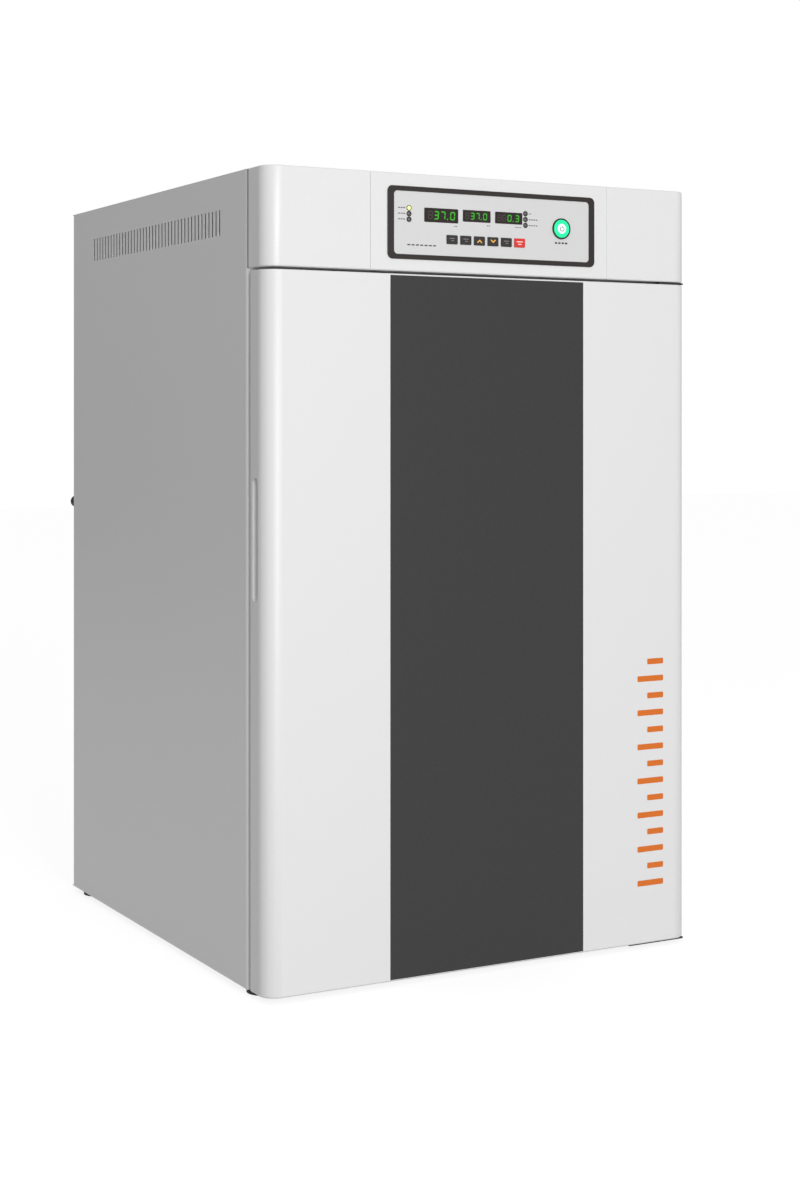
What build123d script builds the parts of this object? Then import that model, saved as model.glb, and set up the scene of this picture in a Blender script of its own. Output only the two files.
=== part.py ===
from build123d import *
import os

# Carbon dioxide incubator, about 80 litres inside. Millimetres, +Z up, front facing -Y, +X to the right.
# The origin is on the floor, under the middle of the whole machine.

# How far a cutting solid runs past the face that it cuts
past = 1.0

# Cabinet
cabinet_width = 574.0
cabinet_depth = 581.0
body_height = 920.0
foot_height = 7.0
sheet = 1.2
side_bend = 5.0
front_flange = 9.0
rear_flange = 26.0
lip_height = 24.0
bay_lip = 20.0
frame_sheet = 1.5
frame_window_width = 220.0
frame_window_height = 52.0
edge_ease = 1.2

# Vent slots in both sides
vent_pitch = 10.42
vent_width = 4.8
vent_height = 29.3
vent_top_gap = 39.7
vent_front_gap = 79.1
vent_rear_gap = 85.1

# Rear panel slots
rear_vent_count = 8
rear_vent_pitch = 11.0
rear_vent_width = 70.0
rear_vent_height = 4.0
rear_vent_x = 70.0
rear_vent_top_gap = 42.0

# Outer door
door_thickness = 41.8
door_back_gap = 6.5
door_gap_above = 3.2
front_corner_radius = 20.0
door_skin = 1.5
door_flange = 14.0
door_panel_width = 262.8
door_panel_thickness = 3.0
door_panel_margin = 1.7
liner_sheet = 1.2
liner_inset = 3.0
liner_recess_side = 36.0
liner_recess_end = 42.0
liner_recess_depth = 16.0
liner_recess_radius = 24.0
liner_draft = 12.0
foam_gap = 0.3
gasket_inset = 14.0
gasket_width = 12.0
gasket_gap = 0.4

# Finger pull in the left side of the door
pull_height = 138.0
pull_width = 13.8
pull_depth = 18.0
pull_from_back = 7.0
pull_middle = 504.5
pull_wall = 1.5

# Outer door hinges
hinge_from_side = 16.0
hinge_from_back = 24.0
hinge_pin_radius = 4.0
hinge_pin_length = 22.0
hinge_play = 0.05
press_play = 0.02
pin_hole_depth = 24.0
boss_size = 30.0
bracket_thickness = 2.2
bracket_gap = 0.5
bracket_width = 30.0
bracket_edge = 12.0
bracket_leaf = 50.0
bracket_leaf_gap = 1.0
bracket_foot_gap = 1.0
bracket_leg = 38.0

# Fascia
fascia_height = 111.9
fascia_wall = 2.5
centre_panel_left = 156.9
centre_panel_right = 165.1
seam_groove = 0.6
post_size = 10.0
post_margin = 9.0

# Control panel on the fascia. Places are measured from the lower left corner of the grey face.
control_x = 5.6
control_rise = 55.35
face_width = 265.6
face_height = 72.1
face_radius = 4.5
face_thickness = 2.0
face_depth = 0.8
bezel_side = 8.25
bezel_end = 5.7
bezel_radius = 6.5
bezel_proud = 1.6
bezel_edge = 0.4
bezel_spigot = 5.0
bezel_lap = 1.8
bezel_ring = 1.8
fit_gap = 0.2
window_left = 39.4
window_gap = 6.0
window_top = 54.5
main_window_width = 45.3
main_window_height = 16.5
side_window_width = 37.7
side_window_height = 13.8
window_corner = 0.8
window_thickness = 3.0
window_lap = 1.5
display_depth = 7.0
left_light_x = 19.5
left_light_z = 39.9
left_light_pitch = 6.5
right_light_x = 176.2
right_light_z = 40.3
right_light_pitch = 6.85
light_radius = 3.2
light_proud = 0.8
light_sides = 12
lights_in_column = 3

# Keys
key_names = ("key_menu", "key_set", "key_up", "key_down", "key_mute", "key_stop")
key_width = 14.5
key_height = 10.2
key_corner = 0.6
key_proud = 0.9
key_gap = 0.25
key_first_x = 76.3
key_pitch = 18.36
key_z = 19.1
key_flange = 1.2
key_flange_thickness = 1.0
key_rest_gap = 0.05
key_stem_size = 4.0
key_stem_end_gap = 0.8
tact_size = 6.0
tact_height = 3.5

# Power button
power_from_right = 39.2
power_z = 38.5
power_bezel_radius = 12.0
power_bezel_inner = 10.9
power_bezel_proud = 1.2
power_button_radius = 10.7
power_button_proud = 2.4
power_cap_length = 3.6
power_cup_depth = 3.6
power_body_size = 25.0
power_body_length = 20.0

# Display board
board_thickness = 1.6
board_gap = 12.0
board_margin = 6.0
standoff_size = 5.0

# Chamber, about 400 by 400 by 500 inside, given by the room that is left round it
chamber_side_room = 87.0
chamber_floor = 150.0
bay_height = 208.0
rear_room = 105.8
chamber_radius = 25.0
chamber_back_cut = 16.0
chamber_wall = 1.0
chamber_flange = 34.0
chamber_flange_clip = 20.0
bedding_gap = 0.4
insulation_side_gap = 3.0
insulation_top = 62.0
insulation_bottom = 60.0
insulation_back = 60.0
bearer_width = 60.0
bearer_inset = 50.0

# Inner glass door
glass_thickness = 5.0
glass_overlap = 20.0
glass_radius = 12.0
glass_proud = 0.3
well_gap = 8.0
well_radius = 16.0
well_lip = 1.5
seal_thickness = 5.5
seal_width = 12.0
seal_inset = 4.0
seal_gap = 0.4
glass_hinge_from_end = 70.0
glass_knuckle = 7.6
glass_pin_radius = 2.0
glass_knuckle_height = 26.0
glass_pin = 18.0
knuckle_gap = 0.4
glass_pin_from_well = 3.7
glass_pin_from_frame = 5.6
glass_leaf_gap = 2.0
glass_leaf_thickness = 2.0
glass_leaf_width = 32.0
frame_leaf_width = 20.0
frame_leaf_thickness = 1.6
knob_from_edge = 30.0
knob_drop = 70.0
knob_radius = 9.0
knob_length = 13.0
knob_grip = 5.0
knob_sides = 12
knob_taper = 23.6
knob_stem_radius = 3.0
knob_nut_radius = 6.5
knob_nut = 3.5

# Turn latch on the front frame, left of the glass door
latch_from_well = 12.0
latch_hub_radius = 8.0
latch_arm_width = 12.0
latch_arm_length = 31.0
latch_arm_corner = 3.0
latch_thickness = 4.0
latch_lift = 0.6
latch_hub_proud = 2.0
latch_stud_radius = 3.0
latch_grip_length = 14.0
latch_grip_width = 4.0
latch_grip_height = 6.0

# Shelves, racks and water pan
rack_post_depth = 8.0
rack_post_width = 16.0
rack_front = 60.0
rack_from_back = 80.0
rack_end_gap = 28.0
rail_levels = 4
rail_first = 105.0
rail_top_room = 125.0
rail_width = 12.0
rail_height = 14.0
rail_thickness = 1.5
shelf_front = 32.0
shelf_back_room = 48.0
shelf_gap = 1.0
shelf_lift = 0.1
shelf_sheet = 1.2
shelf_fold = 14.0
shelf_fold_inset = 3.0
shelf_levels = (1, 3)
slot_columns = 2
slot_rows = 8
slot_edge = 22.5
slot_bridge = 14.0
slot_height = 16.0
slot_end = 26.0
pan_height = 28.0
pan_front = 45.0
pan_side_room = 35.0
pan_back_room = 65.0
pan_wall = 1.0
pan_radius = 18.0

# Circulation fan on the back wall
fan_drop = 130.0
fan_cover_side_room = 85.0
fan_cover_height = 190.0
fan_cover_depth = 36.0
fan_cover_wall = 1.0
fan_cover_corner = 20.0
fan_slot_count = 12
fan_slot_inner = 18.0
fan_slot_length = 28.0
fan_slot_width = 4.0
fan_outlet_count = 4
fan_outlet_margin = 23.0
fan_outlet_bridge = 10.0
fan_outlet_depth = 14.0
impeller_radius = 55.0
impeller_width = 22.0
impeller_plate = 1.5
impeller_hub_radius = 10.0
impeller_back_gap = 6.0
blade_count = 12
blade_inner = 34.0
blade_thickness = 1.2
blade_lean = 38.0
shaft_radius = 3.0
shaft_gap = 1.5
shaft_play = 0.05
shaft_grip = 15.0
motor_size = 64.0
motor_length = 48.0
motor_plate = 90.0
motor_plate_thickness = 3.0
motor_plate_corner = 8.0

# Probes on the back wall
sensor_from_side = 50.0
sensor_drop = 60.0
sensor_radius = 10.0
sensor_length = 58.0
sensor_flange_radius = 14.0
sensor_flange = 2.0
probe_radius = 2.5
probe_length = 70.0
through_gap = 0.5

# Access port through the back
port_from_side = 50.0
port_rise = 245.0
port_radius = 15.0
port_wall = 2.0
port_flange_size = 44.0
port_flange_clip = 6.0
port_flange = 2.0
plug_gap = 0.3
plug_length = 40.0
plug_tab_height = 38.0
plug_tab_width = 10.0
plug_tab = 9.0

# Gas line in the electronics bay
gas_from_side = 35.0
gas_drop = 130.0
gas_stem_radius = 4.0
gas_stem_length = 20.0
gas_hex = 8.0
gas_hex_length = 6.0
gas_thread_radius = 5.0
gas_thread_length = 14.0
gas_pipe_radius = 4.0
filter_radius = 13.0
filter_length = 36.0
valve_width = 40.0
valve_length = 50.0
valve_height = 30.0
coil_size = 30.0
coil_height = 34.0
nozzle_from_back = 40.0
nozzle_drop = 10.0

# Mains inlet on the rear panel
inlet_from_side = 122.0
inlet_drop = 130.0
inlet_flange_width = 50.0
inlet_flange_height = 34.0
inlet_flange = 3.0
inlet_corner = 2.0
inlet_body_width = 30.0
inlet_body_height = 24.0
inlet_body_depth = 26.0
inlet_socket_width = 24.0
inlet_socket_height = 16.5
inlet_socket_depth = 16.0
inlet_pin_width = 2.0
inlet_pin_height = 4.0
inlet_pin_spacing = 7.0
inlet_pin_offset = 1.5

# Electronics
main_board_width = 180.0
main_board_depth = 130.0
main_board_gap = 11.0
main_board_back = 250.0
supply_width = 98.0
supply_depth = 160.0
supply_height = 38.0
supply_from_side = 48.0
supply_front = 150.0
standoff_height = 10.0
relay_count = 4
relay_pitch = 36.0
relay_size = 16.0
relay_height = 16.0
relay_from_back = 14.0
transformer_size = 42.0
transformer_height = 34.0
heat_sink_from_left = 60.0
heat_sink_width = 50.0
heat_sink_depth = 14.0
heat_sink_height = 26.0
terminal_depth = 9.0
terminal_height = 12.0
board_parts_margin = 20.0
supply_strip = 12.0
supply_strip_height = 19.0

# Feet and rear stand-offs
foot_radius = 20.0
foot_from_side = 25.0
foot_from_front = 10.0
foot_from_back = 34.0
spacer_radius = 8.0
spacer_length = 30.0
spacer_from_side = 15.5
spacer_rise = 526.0

# Depths, from the front of the power button to the ends of the rear stand-offs
button_reach = power_button_proud + face_depth
total_depth = button_reach + door_thickness + door_back_gap + cabinet_depth + spacer_length
front_y = button_reach - total_depth / 2
door_back_y = front_y + door_thickness
seam_y = door_back_y + door_back_gap
back_y = seam_y + cabinet_depth
frame_y = seam_y + sheet
frame_back_y = frame_y + frame_sheet
rear_y = back_y - sheet
rear_inner_y = rear_y - sheet
well_depth = seal_thickness + seal_gap + glass_thickness - glass_proud
flange_y = frame_y + well_depth
insulation_back_y = rear_inner_y - rear_room
chamber_back_y = insulation_back_y - insulation_back - chamber_wall
chamber_depth = chamber_back_y - flange_y
shelf_depth = chamber_depth - shelf_front - shelf_back_room
pan_depth = chamber_depth - pan_front - pan_back_room

# Heights
base_z = foot_height
top_z = base_z + body_height
fascia_z = top_z - fascia_height
door_top_z = fascia_z - door_gap_above
bay_z = top_z - bay_height
ceiling_z = bay_z - insulation_top
floor_z = base_z + chamber_floor
chamber_height = ceiling_z - floor_z
chamber_z = floor_z + chamber_height / 2
insulation_z = floor_z - insulation_bottom
rail_pitch = (chamber_height - rail_first - rail_top_room) / (rail_levels - 1)
fan_z = ceiling_z - fan_drop
sensor_z = ceiling_z - sensor_drop
port_z = floor_z + port_rise
gas_z = top_z - gas_drop
inlet_z = top_z - inlet_drop

# Widths
half_width = cabinet_width / 2
inner_half = half_width - sheet
flat_half = half_width - side_bend
hinge_x = half_width - hinge_from_side
hinge_y = door_back_y - hinge_from_back
chamber_width = cabinet_width - 2 * chamber_side_room
bearer_x = chamber_width / 2 - bearer_inset
pan_width = chamber_width - 2 * pan_side_room
fan_cover_width = chamber_width - 2 * fan_cover_side_room
sensor_x = chamber_width / 2 - sensor_from_side
port_x = port_from_side - chamber_width / 2
gas_x = chamber_width / 2 - gas_from_side
inlet_x = inlet_from_side - half_width
glass_width = chamber_width + 2 * glass_overlap
glass_height = chamber_height + 2 * glass_overlap
well_width = glass_width + 2 * well_gap
well_height = glass_height + 2 * well_gap
glass_y = frame_y - glass_proud
glass_back_y = glass_y + glass_thickness
glass_hinge_x = well_width / 2 + glass_pin_from_well
glass_hinge_y = frame_y - glass_pin_from_frame
liner_recess_width = glass_width + 2 * liner_recess_side
liner_recess_height = glass_height + 2 * liner_recess_end

# Control panel places in the machine's frame
control_z = fascia_z + control_rise
face_left = control_x - face_width / 2
face_right = control_x + face_width / 2
face_bottom = control_z - face_height / 2
face_y = front_y - face_depth
face_back_y = face_y + face_thickness
board_y = face_back_y + board_gap
window_y = (face_y, face_y + window_thickness)


def block(x, y, z):
    """A box, given as its low and high ends along x, y and z."""
    size = [high - low for low, high in (x, y, z)]
    middle = [(low + high) / 2 for low, high in (x, y, z)]
    return Pos(*middle) * Box(*size)


def facing_front(x, y, z):
    """A sketch plane that faces the front, its own x to the right and its own y up."""
    return Plane(origin=(x, y, z), x_dir=(1, 0, 0), z_dir=(0, -1, 0))


def plate(x, z, width, height, radius, y):
    """An upright plate with rounded corners, between two depths."""
    return extrude(facing_front(x, y[0], z) * RectangleRounded(width, height, radius), y[0] - y[1])


def clipped_plate(x, z, width, height, cut, y):
    """An upright plate whose four corners are clipped at 45 degrees."""
    outline = chamfer(Rectangle(width, height).vertices(), cut)
    return extrude(facing_front(x, y[0], z) * outline, y[0] - y[1])


def rod_y(x, z, radius, y):
    """A round bar that lies front to back."""
    return extrude(facing_front(x, y[0], z) * Circle(radius), y[0] - y[1])


def rod_z(x, y, radius, z):
    """A round bar that stands upright."""
    return extrude(Pos(x, y, z[0]) * Circle(radius), z[1] - z[0])


def hexagon_y(x, z, radius, y):
    """A six-sided bar that lies front to back."""
    return extrude(facing_front(x, y[0], z) * RegularPolygon(radius, 6), y[0] - y[1])


def square_hole(x, z, half, y):
    """A square opening that runs front to back."""
    return block((x - half, x + half), y, (z - half, z + half))


def both_sides(piece):
    """The piece and its mirror image, as two solids."""
    return Compound(children=[*piece.solids(), *mirror(piece, about=Plane.YZ).solids()])


def group(pieces):
    """Several separate solids kept as one node."""
    return Compound(children=[solid for piece in pieces for solid in piece.solids()])


def front_plan(inset, back):
    """Plan of the door and fascia: a rectangle whose two front corners are well rounded."""
    plan = Pos(0, (front_y + inset + back) / 2) * Rectangle(
        cabinet_width - 2 * inset, back - front_y - inset
    )
    return fillet(plan.vertices().group_by(Axis.Y)[0], front_corner_radius - inset)


def front_body(inset, back, z):
    """A solid on the door's plan, between two heights."""
    return extrude(Pos(0, 0, z[0]) * front_plan(inset, back), z[1] - z[0])


def eased_ends(body, back):
    """Ease the edges at the top and bottom of a body, all but those at its back."""
    faces = body.faces().sort_by(Axis.Z)
    edges = faces[0].edges() + faces[-1].edges()
    return chamfer([edge for edge in edges if edge.center().Y < back - edge_ease], edge_ease)


def vent_places():
    """Depths of the vent slots' middles."""
    vent_count = round((cabinet_depth - vent_front_gap - vent_rear_gap) / vent_pitch) + 1
    return [seam_y + vent_front_gap + i * vent_pitch for i in range(vent_count)]


def make_left_side_panel():
    """Folded side panel: a narrow flange turned in at the front, a wide one at the back, and vent slots."""
    outer = Pos(-half_width + rear_flange / 2, (seam_y + back_y) / 2) * Rectangle(
        rear_flange, cabinet_depth
    )
    outer = fillet(outer.vertices().group_by(Axis.X)[0], side_bend)
    inner_width = rear_flange - sheet
    inner = Pos(-inner_half + inner_width / 2, (seam_y + back_y) / 2) * Rectangle(
        inner_width, cabinet_depth - 2 * sheet
    )
    inner = fillet(inner.vertices().group_by(Axis.X)[0], side_bend - sheet)
    low, high = base_z + sheet, top_z - sheet
    panel = extrude(Pos(0, 0, low) * (outer - inner), high - low)
    panel -= block(
        (-half_width + front_flange, -half_width + rear_flange + past),
        (seam_y - past, seam_y + side_bend),
        (low - past, high + past),
    )
    vent_z = (top_z - vent_top_gap - vent_height, top_z - vent_top_gap)
    slots = [
        block((-half_width - past, -inner_half + past), (y - vent_width / 2, y + vent_width / 2), vent_z)
        for y in vent_places()
    ]
    return panel - slots


def tray(z_plate, z_lip):
    """Flat panel over the whole plan, with lips folded to lie against the sides, frame and rear panel."""
    panel = block((-half_width, half_width), (seam_y, back_y), z_plate)
    lip_y = (seam_y + side_bend, back_y - side_bend)
    for side in (-1, 1):
        panel += block(sorted((side * inner_half, side * (inner_half - sheet))), lip_y, z_lip)
    across = (-flat_half, flat_half)
    panel += block(across, (frame_back_y, frame_back_y + sheet), z_lip)
    panel += block(across, (rear_inner_y - sheet, rear_inner_y), z_lip)
    return panel


def feet_places():
    """Middles of the four feet."""
    x = half_width - foot_from_side
    return [
        (side * x, y) for side in (-1, 1) for y in (seam_y + foot_from_front, back_y - foot_from_back)
    ]


def make_top_panel():
    """Lid of the cabinet, lips down."""
    return tray((top_z - sheet, top_z), (top_z - sheet - lip_height, top_z - sheet))


def make_base_pan():
    """Floor of the cabinet, lips up, with two hollow bearers that carry the insulated chamber."""
    pan = tray((base_z, base_z + sheet), (base_z + sheet, base_z + sheet + lip_height))
    bearer_y = (frame_back_y + sheet, insulation_back_y)
    for side in (-1, 1):
        x = side * bearer_x
        outside = (x - bearer_width / 2, x + bearer_width / 2)
        inside = (outside[0] + frame_sheet, outside[1] - frame_sheet)
        bearer = block(outside, bearer_y, (base_z + sheet, insulation_z))
        bearer -= block(
            inside, (bearer_y[0] - past, bearer_y[1] + past), (base_z + sheet, insulation_z - frame_sheet)
        )
        pan += bearer
    return pan


def make_rear_panel():
    """Rear panel behind the side flanges, with two groups of slots and holes for what passes through it."""
    panel = block((-flat_half, flat_half), (rear_inner_y, rear_y), (base_z + sheet, top_z - sheet))
    through = (rear_inner_y - past, rear_y + past)
    slots = []
    for side in (-1, 1):
        x = side * rear_vent_x
        for i in range(rear_vent_count):
            z = top_z - rear_vent_top_gap - i * rear_vent_pitch
            slots.append(
                block((x - rear_vent_width / 2, x + rear_vent_width / 2), through, (z - rear_vent_height, z))
            )
    panel -= slots
    panel -= rod_y(gas_x, gas_z, gas_thread_radius + press_play, through)
    panel -= rod_y(port_x, port_z, port_radius + port_wall + press_play, through)
    half, half_height = inlet_body_width / 2 + fit_gap, inlet_body_height / 2 + fit_gap
    inlet = block((inlet_x - half, inlet_x + half), through, (inlet_z - half_height, inlet_z + half_height))
    return panel - inlet


def make_rear_spacers():
    """Two round stand-offs that keep the fittings on the back clear of a wall."""
    x = half_width - spacer_from_side
    spacer = rod_y(-x, base_z + spacer_rise, spacer_radius, (back_y, back_y + spacer_length))
    return both_sides(spacer)


def make_feet():
    """Rubber feet under the base pan."""
    return group([rod_z(x, y, foot_radius, (0, base_z)) for x, y in feet_places()])


def make_front_frame():
    """Face frame: a flat sheet with a lipped well round the chamber mouth, and a wiring window above it."""
    frame = block((-flat_half, flat_half), (frame_y, frame_back_y), (base_z + sheet, top_z - sheet))
    lip_width = well_width + 2 * well_lip
    lip_tall = well_height + 2 * well_lip
    frame += plate(0, chamber_z, lip_width, lip_tall, well_radius + well_lip, (frame_y, flange_y))
    frame -= plate(0, chamber_z, well_width, well_height, well_radius, (frame_y - past, flange_y + past))
    frame -= block(
        (control_x - frame_window_width / 2, control_x + frame_window_width / 2),
        (frame_y - past, frame_back_y + past),
        (control_z - frame_window_height / 2, control_z + frame_window_height / 2),
    )
    x = -well_width / 2 - latch_from_well
    stud_front = frame_y - latch_lift - latch_thickness - latch_hub_proud
    return frame + rod_y(x, chamber_z, latch_stud_radius, (stud_front, frame_y))


def fascia_shell():
    """The whole fascia as one hollow body, open at the back."""
    shell = eased_ends(front_body(0, seam_y, (fascia_z, top_z)), seam_y)
    shell -= front_body(fascia_wall, seam_y + past, (fascia_z + fascia_wall, top_z - fascia_wall))
    for seam_x in (-centre_panel_left, centre_panel_right):
        groove = (seam_x - seam_groove / 2, seam_x + seam_groove / 2)
        shell -= block(groove, (front_y - past, front_y + seam_groove), (fascia_z - past, top_z + past))
    return shell


def between(low, high):
    """A tall slab that keeps the part of the fascia between two x values."""
    return block((low, high), (front_y - past, seam_y + past), (fascia_z - past, top_z + past))


def make_fascia_left():
    """Left end of the fascia."""
    return fascia_shell() & between(-half_width - past, -centre_panel_left)


def make_fascia_right():
    """Right end of the fascia, notched at the back for the upper hinge bracket."""
    end = fascia_shell() & between(centre_panel_right, half_width + past)
    return end - block(
        (bracket_leaf_x()[0] - past, bracket_leaf_x()[1] + past),
        (seam_y - bracket_thickness, seam_y + past),
        (fascia_z - past, fascia_z + fascia_wall + past),
    )


def make_fascia_centre():
    """Middle of the fascia, with the control panel's opening and two posts that reach the frame."""
    panel = fascia_shell() & between(-centre_panel_left, centre_panel_right)
    grow = bezel_lap + bezel_ring + fit_gap
    through = (front_y - past, front_y + fascia_wall + past)
    opening_z = (face_bottom - grow, face_bottom + face_height + grow)
    panel -= block((face_left - grow, face_right + grow), through, opening_z)
    for side in (-1, 1):
        x = control_x + side * (face_width / 2 + bezel_side + post_margin)
        half = post_size / 2
        panel += block(
            (x - half, x + half), (front_y + fascia_wall, frame_y), (control_z - half, control_z + half)
        )
    return panel


def make_control_bezel():
    """Dark frame round the control face: a flat border and a ring that passes through the fascia."""
    width, height = face_width, face_height
    front, back = front_y - bezel_proud, front_y + bezel_spigot
    border = plate(
        control_x, control_z, width + 2 * bezel_side, height + 2 * bezel_end, bezel_radius, (front, front_y)
    )
    border = chamfer(border.faces().sort_by(Axis.Y)[0].edges(), bezel_edge)
    ring = bezel_lap + bezel_ring
    top = face_bottom + height
    border += block(
        (face_left - ring, face_right + ring), (front_y, back), (face_bottom - ring, top + ring)
    )
    border -= plate(control_x, control_z, width, height, face_radius, (front - past, face_y))
    return border - block(
        (face_left - bezel_lap, face_right + bezel_lap),
        (face_y, back + past),
        (face_bottom - bezel_lap, top + bezel_lap),
    )


def window_boxes():
    """The three display windows, each as its middle x, middle z, width and height."""
    boxes = []
    left = face_left + window_left
    top = face_bottom + window_top
    sizes = (
        (main_window_width, main_window_height),
        (side_window_width, side_window_height),
        (side_window_width, side_window_height),
    )
    for width, height in sizes:
        boxes.append((left + width / 2, top - height / 2, width, height))
        left += width + window_gap
    return boxes


def light_places():
    """Middles of the six indicator lights, two columns of three."""
    columns = (
        (face_left + left_light_x, face_bottom + left_light_z, left_light_pitch),
        (face_left + right_light_x, face_bottom + right_light_z, right_light_pitch),
    )
    return [(x, z + i * pitch) for x, z, pitch in columns for i in range(lights_in_column)]


def key_places():
    """Middles of the six keys."""
    first = face_left + key_first_x
    return [(first + i * key_pitch, face_bottom + key_z) for i in range(len(key_names))]


def power_place():
    """Middle of the power button."""
    return face_right - power_from_right, face_bottom + power_z


def make_control_face():
    """Light-grey face plate, pierced for windows, keys and the power switch."""
    through = (face_y - past, face_back_y + past)
    face = block(
        (face_left - bezel_lap, face_right + bezel_lap),
        (face_y, face_back_y),
        (face_bottom - bezel_lap, face_bottom + face_height + bezel_lap),
    )
    cuts = [clipped_plate(x, z, w, h, window_corner, through) for x, z, w, h in window_boxes()]
    width, height = key_width + 2 * key_gap, key_height + 2 * key_gap
    cuts += [clipped_plate(x, z, width, height, key_corner, through) for x, z in key_places()]
    cuts.append(rod_y(*power_place(), power_bezel_radius + fit_gap, through))
    return face - cuts


def make_display_windows():
    """Three dark lenses, flush with the face, each with a wider step behind it."""
    lenses = []
    for x, z, width, height in window_boxes():
        lens = clipped_plate(x, z, width - fit_gap, height - fit_gap, window_corner, window_y)
        half_width_behind, half_height_behind = width / 2 + window_lap, height / 2 + window_lap
        lenses.append(
            lens
            + block(
                (x - half_width_behind, x + half_width_behind),
                (face_back_y, window_y[1]),
                (z - half_height_behind, z + half_height_behind),
            )
        )
    return group(lenses)


def make_display_board():
    """Circuit board behind the face: display blocks, key switches and the pillars that hold it."""
    board = block(
        (face_left + board_margin, face_right - power_from_right - power_body_size / 2 - board_margin),
        (board_y, board_y + board_thickness),
        (face_bottom + board_margin / 2, face_bottom + face_height - board_margin / 2),
    )
    for x, z, width, height in window_boxes():
        board += block(
            (x - width / 2, x + width / 2),
            (board_y - display_depth, board_y),
            (z - height / 2, z + height / 2),
        )
    for x, z in key_places():
        board += block(
            (x - tact_size / 2, x + tact_size / 2),
            (board_y - tact_height, board_y),
            (z - tact_size / 2, z + tact_size / 2),
        )
    for x in (face_left + 2 * board_margin, face_left + right_light_x + 2 * board_margin):
        for z in (face_bottom + board_margin, face_bottom + face_height - board_margin):
            half = standoff_size / 2
            board += block((x - half, x + half), (face_back_y, board_y), (z - half, z + half))
    return board


def make_indicator_lights():
    """Six small lamp lenses that lie on the face, each a low prism with twelve sides."""
    outline = RegularPolygon(light_radius, light_sides)
    lights = [facing_front(x, face_y, z) * outline for x, z in light_places()]
    return group([extrude(light, light_proud) for light in lights])


def make_power_switch():
    """Fixed housing of the power switch: a round collar through the face and a square body behind it."""
    x, z = power_place()
    front = face_y - power_bezel_proud
    half = power_body_size / 2
    housing = rod_y(x, z, power_bezel_radius, (front, face_back_y))
    housing += block(
        (x - half, x + half), (face_back_y, face_back_y + power_body_length), (z - half, z + half)
    )
    return housing - rod_y(x, z, power_bezel_inner, (front - past, face_y + power_cup_depth))


def make_power_button():
    """Moving cap of the power switch."""
    front = face_y - power_button_proud
    return rod_y(*power_place(), power_button_radius, (front, front + power_cap_length))


def make_key(x, z):
    """One key: a rounded cap, a wider flange behind the face that keeps it in, and a stem to its switch."""
    flange_y_front = face_back_y + key_rest_gap
    flange_y_back = flange_y_front + key_flange_thickness
    key = clipped_plate(x, z, key_width, key_height, key_corner, (face_y - key_proud, flange_y_front))
    key += block(
        (x - key_width / 2 - key_flange, x + key_width / 2 + key_flange),
        (flange_y_front, flange_y_back),
        (z - key_height / 2 - key_flange, z + key_height / 2 + key_flange),
    )
    stem_end = board_y - tact_height - key_stem_end_gap
    half = key_stem_size / 2
    return key + block((x - half, x + half), (flange_y_back, stem_end), (z - half, z + half))


def pull_recess():
    """Finger pull: a tall rounded slot that is deepest towards the front and runs out at its rear edge."""
    rear = door_back_y - pull_from_back
    middle = rear - pull_width / 2
    side_plane = Plane(
        origin=(-half_width, middle, base_z + pull_middle), x_dir=(0, -1, 0), z_dir=(-1, 0, 0)
    )
    slot = extrude(side_plane * SlotOverall(pull_height, pull_width, rotation=90), -pull_depth)
    wedge = make_face(
        Polyline(
            (-half_width, rear),
            (-half_width, rear - pull_width),
            (-half_width + pull_depth, rear - pull_width),
            close=True,
        )
    )
    low = base_z + pull_middle - pull_height / 2
    return slot & extrude(Pos(0, 0, low) * wedge, pull_height)


def pull_cup():
    """Room that the finger pull and its wall take up inside the door."""
    rear = door_back_y - pull_from_back
    return block(
        (-half_width, -half_width + pull_depth + pull_wall),
        (rear - pull_width - pull_wall, rear + pull_wall),
        (
            base_z + pull_middle - pull_height / 2 - pull_wall,
            base_z + pull_middle + pull_height / 2 + pull_wall,
        ),
    )


def door_shell_back():
    """Depth of the shell's back, where the liner lies on it."""
    return door_back_y - liner_sheet


def hinge_bosses():
    """Solid corners of the door that the hinge pins turn in."""
    x = (half_width - boss_size, half_width)
    y = (front_y, door_shell_back())
    return [
        block(x, y, (base_z, base_z + boss_size)),
        block(x, y, (door_top_z - boss_size, door_top_z)),
    ]


def door_panel_z():
    """Lower and upper end of the dark centre panel."""
    return base_z + door_panel_margin, door_top_z - door_panel_margin


def door_hollow(inset):
    """Inside of the door shell, less the centre panel's bed, the finger pull and the hinge corners."""
    wall = door_skin + inset
    back = door_shell_back() - wall
    hollow = front_body(wall, back, (base_z + wall, door_top_z - wall))
    bed = door_panel_width / 2 + wall
    bed_back = front_y + door_panel_thickness + wall
    hollow -= block((-bed, bed), (front_y, bed_back), (base_z, door_top_z))
    grown = [offset_block(solid, inset) for solid in [pull_cup(), *hinge_bosses()]]
    return hollow - grown


def offset_block(solid, grow):
    """A box round the solid's own box, larger by the same amount on every side."""
    box = solid.bounding_box()
    return block(
        (box.min.X - grow, box.max.X + grow),
        (box.min.Y - grow, box.max.Y + grow),
        (box.min.Z - grow, box.max.Z + grow),
    )


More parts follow.
